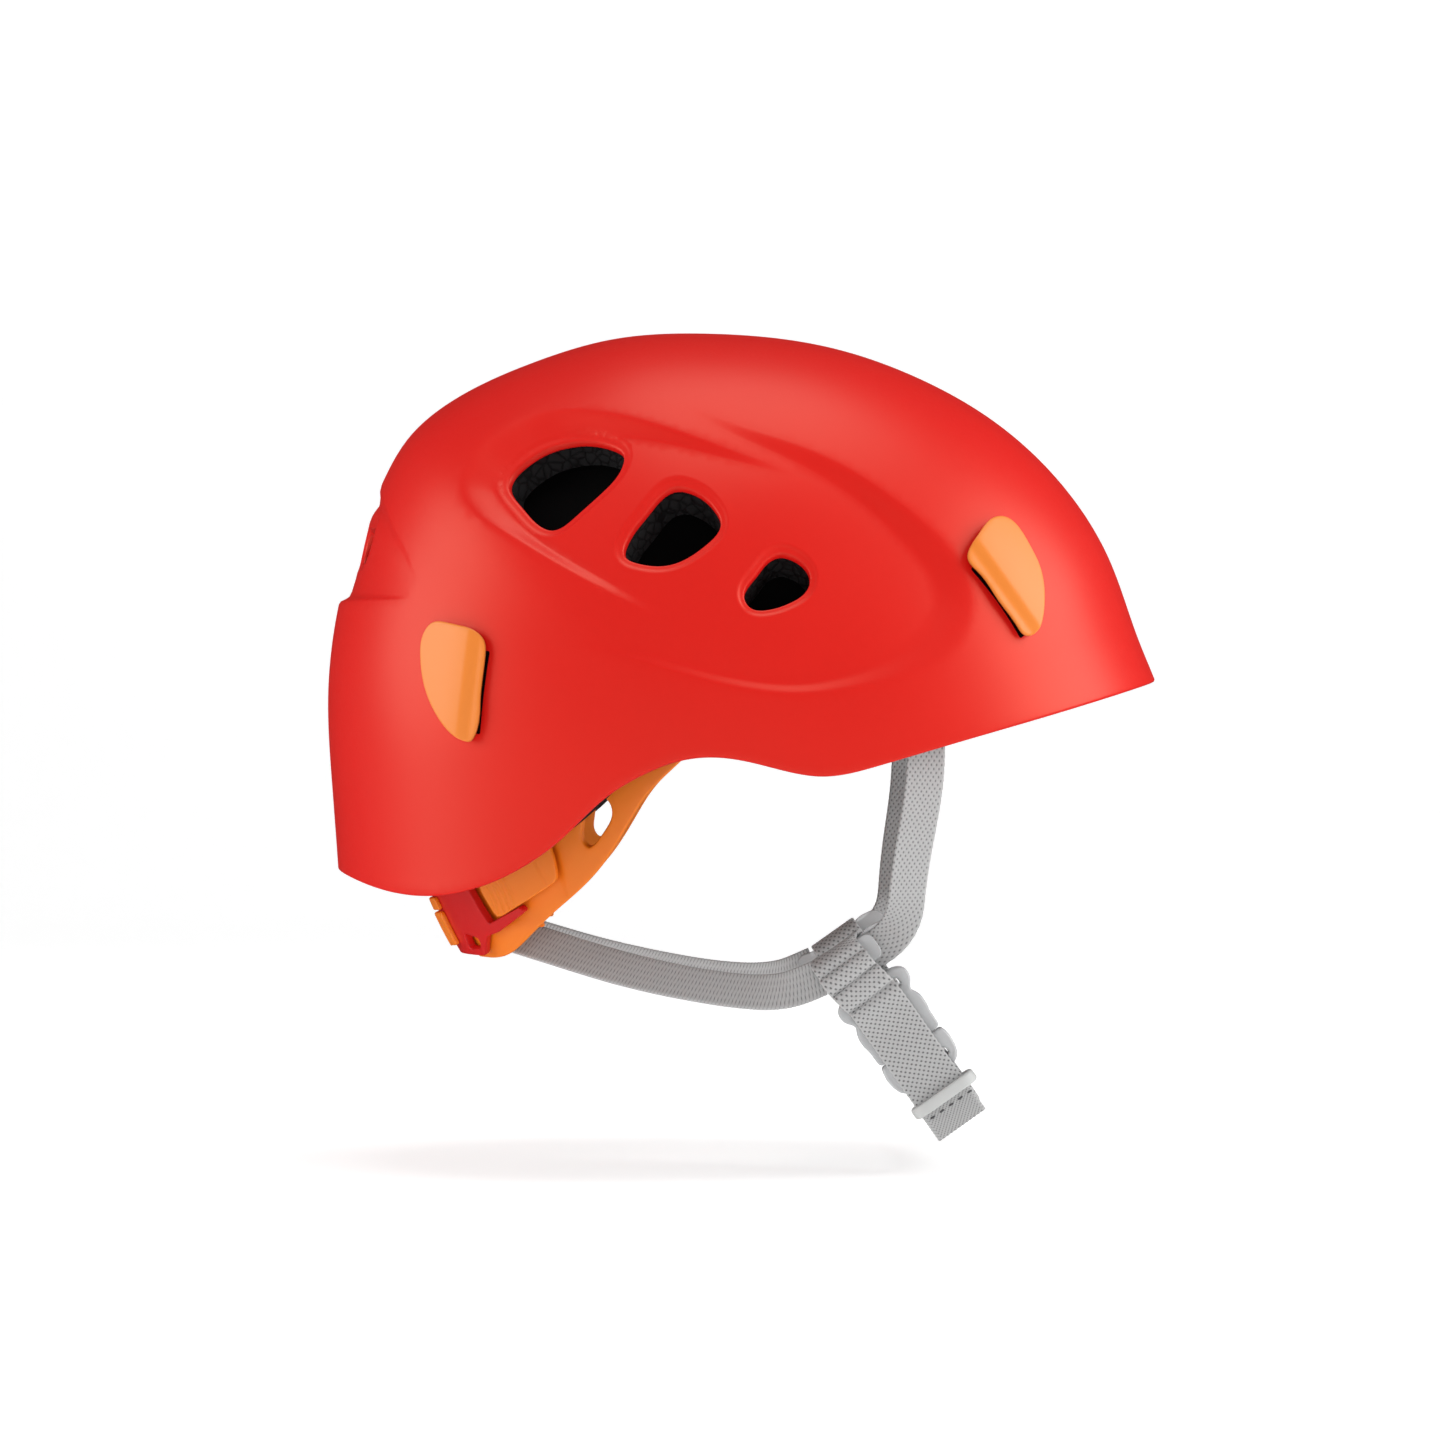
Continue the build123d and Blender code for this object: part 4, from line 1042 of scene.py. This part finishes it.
def build_nape():
    """Carriage, cover plate, toothed strip and pad at the nape."""
    low = ARM_THICKNESS + CARRIAGE_GAP
    high = low + CARRIAGE_THICKNESS
    form = HeadForm(REAR_POLE, high)
    right, left = (form.flat_from_side(np.array(CARRIAGE), side, 90) for side in (-1, 1))
    whole = np.concatenate([right, form.flat_from_rear(level_line(-25, 25, -70.5)), left[::-1],
                            form.flat_from_rear(level_line(34, -34, -50))])
    loop = rounded_polygon(whole, 1.2, 460)
    windows = [spaced(form.flat_from_side(rounded_polygon(CARRIAGE_WINDOW, 1.0, 60), side, 90), 40,
                      closed=True) for side in (-1, 1)]
    shape = sheet(form, [loop] + windows, 1.2, low, high, 0.5)
    finish_piece("nape_carriage_body", shape, "carriage", "carriage", "nape_carriage")

    form = HeadForm(REAR_POLE, high + 1.4)
    upper = rounded_polygon(form.flat_from_rear([(-17, -57.2), (17, -57.2), (16.4, -53.6),
                                                 (-16.4, -53.6)]), 1.2, 120)
    lower = rounded_polygon(form.flat_from_rear([(-16, -67.8), (16, -67.8), (17, -57.9), (-17, -57.9)]),
                            1.6, 140)
    ridge = lambda flat: 0.25 * np.cos(flat[:, 0] * 1.4) * (np.abs(flat[:, 0]) < 10)
    parts = [sheet(form, [upper], 0.9, high + 0.05, high + 1.3, 0.45),
             sheet(form, [lower], 0.7, high + 0.05, high + 1.4, 0.45, high_depth=ridge)]
    finish_piece("nape_cover_plate", joined(parts), "headband", "carriage", "nape_cover")

    form = HeadForm(REAR_POLE, -0.5)
    strip = rounded_polygon(form.flat_from_rear(level_line(-44.5, 44.5, -61.3)
                                                + level_line(44.5, -44.5, -52.8)), 1.5, 320)
    teeth = lambda flat: 0.25 * np.clip(2.2 * np.sin(flat[:, 0] * 2 * math.pi / 2.4), -1, 1) * (
        np.abs(flat[:, 1] - strip[:, 1].mean()) < 3.2)
    shape = sheet(form, [strip], 0.8, -1.6, -0.5, 0.35, low_depth=teeth)
    piece = add_mesh("adjuster_strip_body", *shape, FINISHES["headband"])
    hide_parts("adjuster_strip")
    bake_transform(piece)

    form = HeadForm(REAR_POLE, -2.1)
    pad = rounded_polygon(form.flat_from_rear([(-10.6, -65.4), (10.6, -65.4), (10.6, -53), (-10.6, -53)]),
                          3.0, 110)
    pad_piece("nape_pad_cushion", "nape_pad", form, pad, "carriage", -6.3, -2.1, 1.9, [(0, 0)])


def soften(name, node, finish, body, width):
    """Moulded copy of a CAD node, with its sharp edges rounded."""
    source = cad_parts[node]
    mesh = source.data.copy()
    mesh.name = name
    work = bmesh.new()
    work.from_mesh(mesh)
    bmesh.ops.remove_doubles(work, verts=work.verts, dist=1e-6)
    bmesh.ops.dissolve_limit(work, angle_limit=math.radians(1.5), verts=work.verts, edges=work.edges)
    sharp = [e for e in work.edges if len(e.link_faces) == 2 and e.calc_face_angle(0) > math.radians(38)]
    bmesh.ops.bevel(work, geom=sharp, offset=width * MM, segments=3, profile=0.5, affect="EDGES",
                    clamp_overlap=True)
    bmesh.ops.triangulate(work, faces=work.faces)
    work.to_mesh(mesh)
    work.free()
    mesh.materials.clear()
    mesh.materials.append(FINISHES[finish])
    mesh.shade_smooth()
    mesh.set_sharp_from_angle(angle=math.radians(30))
    piece = put_in_scene(name, mesh)
    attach(piece, body)
    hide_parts(node)
    return piece


# ---------------------------------------------------------------- webbing

def strap_mesh(name, route, widths, size, material):
    """Flat woven strap along a smooth route, with a UV map of metres across and along it."""
    route = np.array(route, float)
    width, thick = size
    fine = natural_curve(route, 60 * len(route))
    length = np.sum(np.linalg.norm(np.diff(fine, axis=0), axis=1))
    rows = max(8, int(length / WEB_STEP))
    line = spaced(fine, rows)
    knots = np.concatenate([[0], np.cumsum(np.linalg.norm(np.diff(route, axis=0), axis=1))])
    place = np.linspace(0, knots[-1], rows)
    widths = np.array(widths, float)
    flat = np.stack([np.interp(place, knots, widths[:, i]) for i in range(3)], axis=1)
    along = np.gradient(line, axis=0)
    along /= np.linalg.norm(along, axis=1)[:, None]
    flat -= along * np.sum(along * flat, axis=1)[:, None]
    flat /= np.linalg.norm(flat, axis=1)[:, None]
    normal = np.cross(along, flat)
    count = int(width / WEB_COLUMN)
    level = np.linspace(-width / 2 + thick / 2, width / 2 - thick / 2, count)
    turns = np.radians([60, 30, 0, -30, -60])
    section = [(u, thick / 2) for u in level]
    section += [(level[-1] + thick / 2 * math.cos(a), thick / 2 * math.sin(a)) for a in turns]
    section += [(u, -thick / 2) for u in level[::-1]]
    section += [(level[0] - thick / 2 * math.cos(a), thick / 2 * math.sin(a)) for a in turns[::-1]]
    section = np.array(section)
    ring = len(section)
    points = (line[:, None, :] + flat[:, None, :] * section[None, :, :1]
              + normal[:, None, :] * section[None, :, 1:]).reshape(-1, 3)
    faces = []
    for i in range(rows - 1):
        a = i * ring
        for j in range(ring):
            k = (j + 1) % ring
            faces.append((a + j, a + k, a + ring + k, a + ring + j))
    for base in (0, (rows - 1) * ring):
        top = np.arange(base, base + count)
        low = np.arange(base + count + 5, base + 2 * count + 5)[::-1]
        right = np.arange(base + count, base + count + 5)
        left = np.arange(base + 2 * count + 5, base + ring)
        for a in range(count - 1):
            faces.append((top[a], top[a + 1], low[a + 1], low[a]))
        faces.append((top[-1], *right, low[-1]))
        faces.append((low[0], *left, top[0]))
    mesh = bpy.data.meshes.new(name)
    mesh.from_pydata((points * MM).tolist(), [], [list(map(int, f)) for f in faces])
    layer = mesh.uv_layers.new(name="UVMap")
    uv = np.stack([np.tile(section[:, 0], rows), np.repeat(place, ring)], axis=1) * MM
    corner = np.zeros(len(mesh.loops), np.int32)
    mesh.loops.foreach_get("vertex_index", corner)
    layer.data.foreach_set("uv", uv[corner].astype(np.float32).ravel())
    work = bmesh.new()
    work.from_mesh(mesh)
    bmesh.ops.recalc_face_normals(work, faces=work.faces)
    work.to_mesh(mesh)
    work.free()
    mesh.shade_smooth()
    mesh.materials.append(material)
    return put_in_scene(name, mesh)


def woven(name, route, widths, size, weave, twill=0.0, stretch=(1.0, 1.0)):
    """Strap with raised yarns; twill from 0 to 1 turns the knit into diagonal ribs."""
    piece = strap_mesh(name, route, widths, size, FINISHES["webbing"])
    values = {"Pitch Across": weave.pitch_across * stretch[0], "Pitch Along": weave.pitch_along * stretch[1],
              "Depth": weave.depth, "Twill": twill, "Material": FINISHES["webbing"]}
    return run_tree(piece, weave_tree(), values)


def build_thin_straps(weave):
    """The two narrow straps of each side: from the anchor, and from the headband, to the guide."""
    front_widths = [(1, 0, 0.1)] * 3 + [(1, 0, 0.25)] * 2 + [(0.9, 0, -0.25), DOWN, DOWN]
    tilts = np.radians(REAR_TILT)
    rear_widths = [(0, math.sin(t), math.cos(t)) for t in tilts]
    rear_widths[0] = (-0.35, 0, 0.94)
    for side, label in ((1, "right"), (-1, "left")):
        turn = np.array([1, side, 1])
        front = woven(f"front_webbing_{label}", np.array(FRONT_ROUTE) * turn,
                      np.array(front_widths) * turn, THIN_WEB, weave, 0.3, (0.8, 1.35))
        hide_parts(f"front_strap_{label}")
        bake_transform(front)
        rear = woven(f"rear_webbing_{label}", np.array(REAR_ROUTE) * turn,
                     np.array(rear_widths) * turn, THIN_WEB, weave, 0.6, (2.2, 0.62))
        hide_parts(f"rear_strap_{label}")
        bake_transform(rear)


# ---------------------------------------------------------------- chin harness

class Plane:
    """Flat form with its own origin and axes; depth is measured along its normal."""

    def __init__(self, origin, x, y, normal):
        self.origin, self.x, self.y, self.normal = (np.array(v, float) for v in (origin, x, y, normal))

    def place(self, flat, depth=0.0):
        depth = np.reshape(depth, (-1, 1)) * np.ones((len(flat), 1))
        return self.origin + flat[:, :1] * self.x + flat[:, 1:] * self.y + depth * self.normal


def chin_route(stations, lean=0.0):
    """Points of the chin webbing from (distance down the strap, y); lean shifts the outer fold across."""
    made = []
    for down, y in stations:
        shift = -lean * (0.3 + 0.7 * smooth_step((24 - down) / 14)) * smooth_step((-y - 43) / 5)
        made.append(CHIN_ORIGIN + DOWN * down + ACROSS * shift + np.array([0, y, 0]))
    return made


def chin_plane(side):
    """Plane of the harness on one side, u across and s down, out from the buckle's middle."""
    return Plane(CHIN_ORIGIN + np.array([0, side * CHIN_HALF, 0]), ACROSS, DOWN, (0, side, 0))


def mirrored_outline(half):
    """Closed outline from its right half, given from top to bottom."""
    right = np.array(half, float)
    return np.concatenate([right, right[::-1] * np.array([-1, 1])])


def build_guides():
    """Clear guides that hold the Y of the straps: two plates with rounded rims and a post."""
    loop = rounded_polygon(np.array(GUIDE) * np.array([1, 0.75]) + np.array([0, JUNCTION_PLACE]), 3.0, 130)
    for side, label in ((-1, "right"), (1, "left")):
        plane = chin_plane(side)
        parts = []
        short = rounded_polygon([(x, JUNCTION_PLACE + y) for x, y in
                                 ((-9.6, -4.2), (9.6, -4.2), (9.6, 4.2), (-9.6, 4.2))], 3.0, 100)
        parts.append(sheet(plane, [loop], 1.5, -1.2, -2.4, 0.45))
        parts.append(sheet(plane, [short], 1.5, 1.2, 2.4, 0.45))
        post = circle((0, JUNCTION_PLACE), 1.5, 28)
        parts.append(sheet(plane, [post], 1.2, -1.4, 1.4, 0.1))
        finish_piece(f"strap_guide_{label}_body", joined(parts), "clear", "chin_upper",
                     f"strap_guide_{label}")


def build_buckle():
    """Side-release buckle: socket of two plates and bars, plug with sprung prongs."""
    plane = chin_plane(-1)
    loop = rounded_polygon(mirrored_outline(SOCKET_EDGE), 1.6, 240)
    slot = rounded_polygon([(-8.4, 20.2), (8.4, 20.2), (8.4, 22.9), (-8.4, 22.9)], 1.0, 90)
    parts = [sheet(plane, [loop, slot], 1.3, 1.9, 3.9, 0.8), sheet(plane, [loop, slot], 1.3, -1.9, -3.9, 0.8)]
    for low, high in ((17.9, 19.9), (23.1, 25.0)):
        bar = rounded_polygon([(-9.2, low), (9.2, low), (9.2, high), (-9.2, high)], 0.6, 80)
        parts.append(sheet(plane, [bar], 1.0, -2.0, 2.0, 0.1))
    for sign in (-1, 1):
        rail = rounded_polygon([(sign * 8.6, 18.2), (sign * 10.6, 18.6), (sign * 9.9, 25.5),
                                (sign * 8.6, 25.5)], 0.6, 60)
        parts.append(sheet(plane, [rail], 1.0, -2.0, 2.0, 0.1))
    finish_piece("buckle_socket", joined(parts), "clear", "chin_upper", "buckle_female")

    loop = rounded_polygon(mirrored_outline(PLUG_EDGE), 1.4, 180)
    slot = rounded_polygon([(-8.3, 45.0), (8.3, 45.0), (8.3, 47.6), (-8.3, 47.6)], 1.0, 90)
    parts = [sheet(plane, [loop, slot], 1.2, -3.8, 3.8, 0.9)]
    for sign in (-1, 1):
        outline = np.array(PRONG) * np.array([sign, 1])
        parts.append(sheet(plane, [rounded_polygon(outline, 0.8, 110)], 0.9, -1.35, 1.35, 0.45))
    tongue = rounded_polygon([(-1.3, 27.0), (1.3, 27.0), (1.3, 41.5), (-1.3, 41.5)], 0.9, 80)
    parts.append(sheet(plane, [tongue], 0.9, -1.35, 1.35, 0.45))
    finish_piece("buckle_plug", joined(parts), "clear", "chin_lower", "buckle_male")


def stitch_line(name, ends, body):
    """Row of stitches between two points."""
    mesh = bpy.data.meshes.new(name)
    line = np.linspace(ends[0], ends[1], 12)
    mesh.from_pydata((line * MM).tolist(), [(i, i + 1) for i in range(11)], [])
    piece = put_in_scene(name, mesh)
    run_tree(piece, stitch_tree(), {**STITCH, "Material": FINISHES["thread"]})
    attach(piece, body)


def build_chin_webbing(weave):
    """Wide webbing: the right loop with its loose end, and the strap under the chin."""
    outer = CHIN_HALF + TAIL_DEPTH
    loop = [(BUCKLE_START + 4.2, -46.3), (BUCKLE_START + 1.0, -43.0), (13.0, -40.4), (8.0, -40.2),
            (5.2, -40.8), (3.7, -42.8), (3.4, -46.0), (4.4, -49.0), (6.2, -50.4), (7.8, -50.3),
            (10.0, -49.4), (14.0, -49.2)]
    piece = woven("chin_webbing_loop", chin_route(loop, 2.6), [ACROSS] * len(loop), WIDE_WEB, weave)
    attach(piece, "chin_upper")
    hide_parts("chin_loop_right")
    right = [(13.5, -49.9), (11.5, -49.9), (9.6, -50.0), (8.6, -50.9), (9.1, -52.0), (10.8, -52.5),
             (12.6, -52.2), (13.8, -51.1), (14.9, -52.0), (17.2, -52.5), (19.5, -52.0), (20.8, -50.9),
             (22.0, -51.7), (25.0, -51.9), (38.0, -51.6), (48.0, -51.7), (53.5, -51.4), (57.0, -51.5),
             (62.0, -51.6)]
    piece = woven("chin_webbing_tail", chin_route(right, 2.6), [ACROSS] * len(right), TAIL_WEB, weave)
    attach(piece, "chin_upper")
    tail = [(58.2, -51.65), (60.0, -51.75), (63.0, -51.85), (TAIL_END - 0.2, -51.8)]
    end = woven("webbing_end_fold", chin_route(tail, 2.6), [ACROSS] * len(tail), FOLD_WEB, weave, 1.0,
                (0.72, 0.62))
    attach(end, "chin_upper")
    row = [CHIN_ORIGIN + DOWN * 59.9 + ACROSS * u + OUT * (outer + 1.35) for u in (-6.6, 6.6)]
    stitch_line("webbing_end_stitches", row, "chin_upper")

    depth = CHIN_BOTTOM - CHIN_TURN
    turn = []
    for angle in np.linspace(0, math.pi, 17):
        side = math.copysign(abs(math.cos(angle)) ** (2 / 3), math.cos(angle))
        turn.append((CHIN_TURN + depth * math.sin(angle) ** (2 / 3), -CHIN_HALF * side))
    left = [(40.0, 46.0), (31.0, 46.2), (22.0, 46.8), (14.0, 49.2), (9.5, 50.2), (6.2, 50.3), (4.2, 49.0),
            (3.3, 46.2), (3.6, 43.0), (5.2, 40.9), (8.0, 40.3), (13.0, 40.8), (17.0, 42.2)]
    route = [(46.8, -43.2), (49.4, -44.2), (52.0, -45.6)] + turn + left
    strap = woven("chin_webbing", chin_route(route), [ACROSS] * len(route), WIDE_WEB, weave)
    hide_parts("chin_strap", "chin_loop_left")
    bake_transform(strap)


def build_keeper():
    """Flat oval rubber ring that keeps the loose end against the chin strap."""
    top, low = TAIL_DEPTH + 0.7 + 0.9, -1.6
    centre = CHIN_ORIGIN + DOWN * RING_PLACE + OUT * CHIN_HALF
    plane = Plane(centre, ACROSS, OUT, DOWN)
    hole = rounded_polygon([(-8.7, low), (8.7, low), (8.7, top), (-8.7, top)], 3.2, 120)
    rim = rounded_polygon([(-10.9, low - 2), (10.9, low - 2), (10.9, top + 2), (-10.9, top + 2)], 6.0, 180)
    shape = sheet(plane, [rim, hole], 1.0, -1.8, 1.8, 0.9)
    finish_piece("keeper_ring_body", shape, "keeper", "keeper", "keeper_ring")


# ---------------------------------------------------------------- stage

def build_stage(settings):
    """Pale floor that curves up into a backdrop, soft lamps and the camera."""
    mesh = bpy.data.meshes.new("studio_floor")
    radius, low, back, half = 0.8, FLOOR_HEIGHT, 2.5, 3.5
    line = [(-3.5, low), (0.0, low), (back - radius, low)]
    line += [(back - radius + radius * math.sin(a), low + radius - radius * math.cos(a))
             for a in np.linspace(0.1, math.pi / 2, 24)]
    line += [(back, 1.6), (back, 3.2)]
    vertices = [(x, y, z) for y, z in line for x in (-half, half)]
    mesh.from_pydata(vertices, [], [(2 * i, 2 * i + 1, 2 * i + 3, 2 * i + 2) for i in range(len(line) - 1)])
    mesh.shade_smooth()
    floor = put_in_scene("studio_floor", mesh)
    material, tree, shader = surface("Studio paper", tuple(settings.floor_colour), 0.9)
    shade = blend_colours(tree, noise_at(tree, 3.0), tuple(c * 0.99 for c in settings.floor_colour),
                          tuple(settings.floor_colour))
    tree.links.new(shade, shader.inputs["Base Color"])
    shader.inputs["Emission Color"].default_value = (1.0, 1.0, 1.0, 1.0)
    shader.inputs["Emission Strength"].default_value = FLOOR_GLOW
    beneath = add_node(tree, "ShaderNodeNewGeometry").outputs["Backfacing"]
    clear = add_node(tree, "ShaderNodeBsdfTransparent").outputs[0]
    seen = add_node(tree, "ShaderNodeMixShader", {0: beneath, 1: shader.outputs[0], 2: clear})
    tree.links.new(seen.outputs[0], tree.nodes["Material Output"].inputs["Surface"])
    mesh.materials.append(material)
    floor.visible_glossy = False

    for name, place, size, power, shine in LAMPS:
        lamp = bpy.data.lights.new(name, "AREA")
        lamp.shape, lamp.size, lamp.energy = "DISK", size, power * settings.brightness
        holder = put_in_scene(name, lamp)
        holder.location = place
        holder.visible_glossy = shine
        holder.rotation_euler = (Vector(LAMP_AIM) - Vector(place)).to_track_quat("-Z", "Y").to_euler()

    world = bpy.data.worlds.new("Studio")
    world.use_nodes = True
    world.node_tree.nodes["Background"].inputs[0].default_value = (1.0, 1.0, 1.0, 1.0)
    world.node_tree.nodes["Background"].inputs[1].default_value = WORLD_LIGHT * settings.brightness
    bpy.context.scene.world = world
    world.cycles_visibility.glossy = False
    bpy.context.scene.view_settings.view_transform = "Standard"

    camera = bpy.data.cameras.new("Camera")
    camera.sensor_width = 36.0
    camera.lens = settings.lens
    holder = put_in_scene("Camera", camera)
    holder.location = tuple(settings.camera_place)
    holder.rotation_euler = (math.pi / 2, 0.0, 0.0)
    bpy.context.scene.camera = holder


# ---------------------------------------------------------------- settings

def colour_property(name, description, value):
    return FloatVectorProperty(name=name, description=description, default=value, size=3, subtype="COLOR",
                               min=0.0, max=1.0)


class HelmetColours(bpy.types.PropertyGroup):
    """Colours of the moulded parts and the webbing."""
    shell: colour_property("Shell", "Colour of the hard outer shell", (0.78, 0.007, 0.006))
    clip: colour_property("Clips", "Colour of the headlamp clips", (0.9, 0.25, 0.03))
    headband: colour_property("Headband", "Colour of the headband and its release tabs", (0.95, 0.22, 0.008))
    carriage: colour_property("Carriage", "Colour of the nape carriage", (0.66, 0.008, 0.008))
    webbing: colour_property("Webbing", "Colour of the webbing yarns", (0.52, 0.52, 0.52))


class HelmetShape(bpy.types.PropertyGroup):
    """Fineness of the shell's mesh."""
    spacing: FloatProperty(name="Mesh spacing", description="Distance between the points of the shell",
                           default=0.0022, min=0.001, max=0.01, unit="LENGTH")


class HelmetWeave(bpy.types.PropertyGroup):
    """Yarns of the wide and narrow webbing."""
    pitch_across: FloatProperty(name="Pitch across", description="Width of one yarn repeat",
                                default=0.0019, min=0.0005, max=0.01, unit="LENGTH")
    pitch_along: FloatProperty(name="Pitch along", description="Length of one yarn repeat",
                               default=0.00175, min=0.0005, max=0.01, unit="LENGTH")
    depth: FloatProperty(name="Depth", description="Height of the yarns", default=0.00011, min=0.0,
                         max=0.0005, unit="LENGTH")


class HelmetStage(bpy.types.PropertyGroup):
    """Floor, lamps and camera."""
    floor_colour: colour_property("Floor", "Colour of the floor and backdrop", (0.86, 0.86, 0.86))
    brightness: FloatProperty(name="Brightness", description="Strength of all the lamps", default=1.0,
                              min=0.0, max=10.0)
    lens: FloatProperty(name="Lens", description="Focal length of the camera in millimetres",
                        default=135.96, min=20.0, max=400.0)
    camera_place: FloatVectorProperty(name="Camera", description="Place of the camera", size=3,
                                      default=(-0.0076, -1.65, 0.0), subtype="TRANSLATION", unit="LENGTH")


# ---------------------------------------------------------------- operators

class HELMET_OT_finishes(bpy.types.Operator):
    """Make the materials"""
    bl_idname = "helmet.finishes"
    bl_label = "Materials"

    def execute(self, context):
        make_finishes(context.scene.helmet_colours)
        return {"FINISHED"}


class HELMET_OT_shell(bpy.types.Operator):
    """Build the outer shell"""
    bl_idname = "helmet.shell"
    bl_label = "Outer shell"

    def execute(self, context):
        build_shell(context.scene.helmet_shape)
        return {"FINISHED"}


class HELMET_OT_liner(bpy.types.Operator):
    """Build the foam liner"""
    bl_idname = "helmet.liner"
    bl_label = "Foam liner"

    def execute(self, context):
        build_liner()
        build_vent_shade()
        return {"FINISHED"}


class HELMET_OT_clips(bpy.types.Operator):
    """Build the four headlamp clips"""
    bl_idname = "helmet.clips"
    bl_label = "Headlamp clips"

    def execute(self, context):
        build_clip("headlamp_clip_rear", REAR_CLIP, REAR_CLIP_EDGE)
        build_clip("headlamp_clip_front", FRONT_CLIP, FRONT_CLIP_EDGE)
        return {"FINISHED"}


class HELMET_OT_pads(bpy.types.Operator):
    """Build the comfort pads"""
    bl_idname = "helmet.pads"
    bl_label = "Comfort pads"

    def execute(self, context):
        build_pads()
        return {"FINISHED"}


class HELMET_OT_headband(bpy.types.Operator):
    """Build the headband arms, release tabs and pins"""
    bl_idname = "helmet.headband"
    bl_label = "Headband"

    def execute(self, context):
        build_arm()
        build_latch()
        for label in ("right", "left"):
            soften(f"pivot_pin_{label}_body", f"pivot_pin_{label}", "pin", "shell", 0.35)
            soften(f"strap_anchor_{label}_body", f"strap_anchor_{label}", "pin", "shell", 0.5)
        return {"FINISHED"}


class HELMET_OT_nape(bpy.types.Operator):
    """Build the nape carriage, its cover, strip and pad"""
    bl_idname = "helmet.nape"
    bl_label = "Nape carriage"

    def execute(self, context):
        build_nape()
        return {"FINISHED"}


class HELMET_OT_straps(bpy.types.Operator):
    """Build the narrow straps"""
    bl_idname = "helmet.straps"
    bl_label = "Narrow straps"

    def execute(self, context):
        build_thin_straps(context.scene.helmet_weave)
        return {"FINISHED"}


class HELMET_OT_chin(bpy.types.Operator):
    """Build the guides, buckle, wide webbing and keeper"""
    bl_idname = "helmet.chin"
    bl_label = "Chin harness"

    def execute(self, context):
        build_guides()
        build_buckle()
        build_chin_webbing(context.scene.helmet_weave)
        build_keeper()
        return {"FINISHED"}


class HELMET_OT_stage(bpy.types.Operator):
    """Build the floor, lamps and camera"""
    bl_idname = "helmet.stage"
    bl_label = "Stage"

    def execute(self, context):
        build_stage(context.scene.helmet_stage)
        return {"FINISHED"}


STEPS = (HELMET_OT_finishes, HELMET_OT_shell, HELMET_OT_liner, HELMET_OT_clips, HELMET_OT_pads,
         HELMET_OT_headband, HELMET_OT_nape, HELMET_OT_straps, HELMET_OT_chin, HELMET_OT_stage)
GROUPS = (("helmet_colours", HelmetColours), ("helmet_shape", HelmetShape),
          ("helmet_weave", HelmetWeave), ("helmet_stage", HelmetStage))


class HELMET_PT_panel(bpy.types.Panel):
    """Settings and steps of the helmet"""
    bl_idname = "HELMET_PT_panel"
    bl_label = "Climbing helmet"
    bl_space_type = "VIEW_3D"
    bl_region_type = "UI"
    bl_category = "Helmet"

    def draw(self, context):
        for name, group in GROUPS:
            box = self.layout.box()
            for label in group.__annotations__:
                box.prop(getattr(context.scene, name), label)
        for step in STEPS:
            self.layout.operator(step.bl_idname)


def register():
    for name, group in GROUPS:
        bpy.utils.register_class(group)
        setattr(bpy.types.Scene, name, PointerProperty(type=group))
    for item in (*STEPS, HELMET_PT_panel):
        bpy.utils.register_class(item)


def unregister():
    for item in (HELMET_PT_panel, *reversed(STEPS)):
        bpy.utils.unregister_class(item)
    for name, group in reversed(GROUPS):
        delattr(bpy.types.Scene, name)
        bpy.utils.unregister_class(group)


def main():
    register()
    for step in STEPS:
        area, name = step.bl_idname.split(".")
        if getattr(getattr(bpy.ops, area), name)() != {"FINISHED"}:
            raise RuntimeError(f"{step.bl_label} was not finished")


if __name__ == "__main__":
    main()
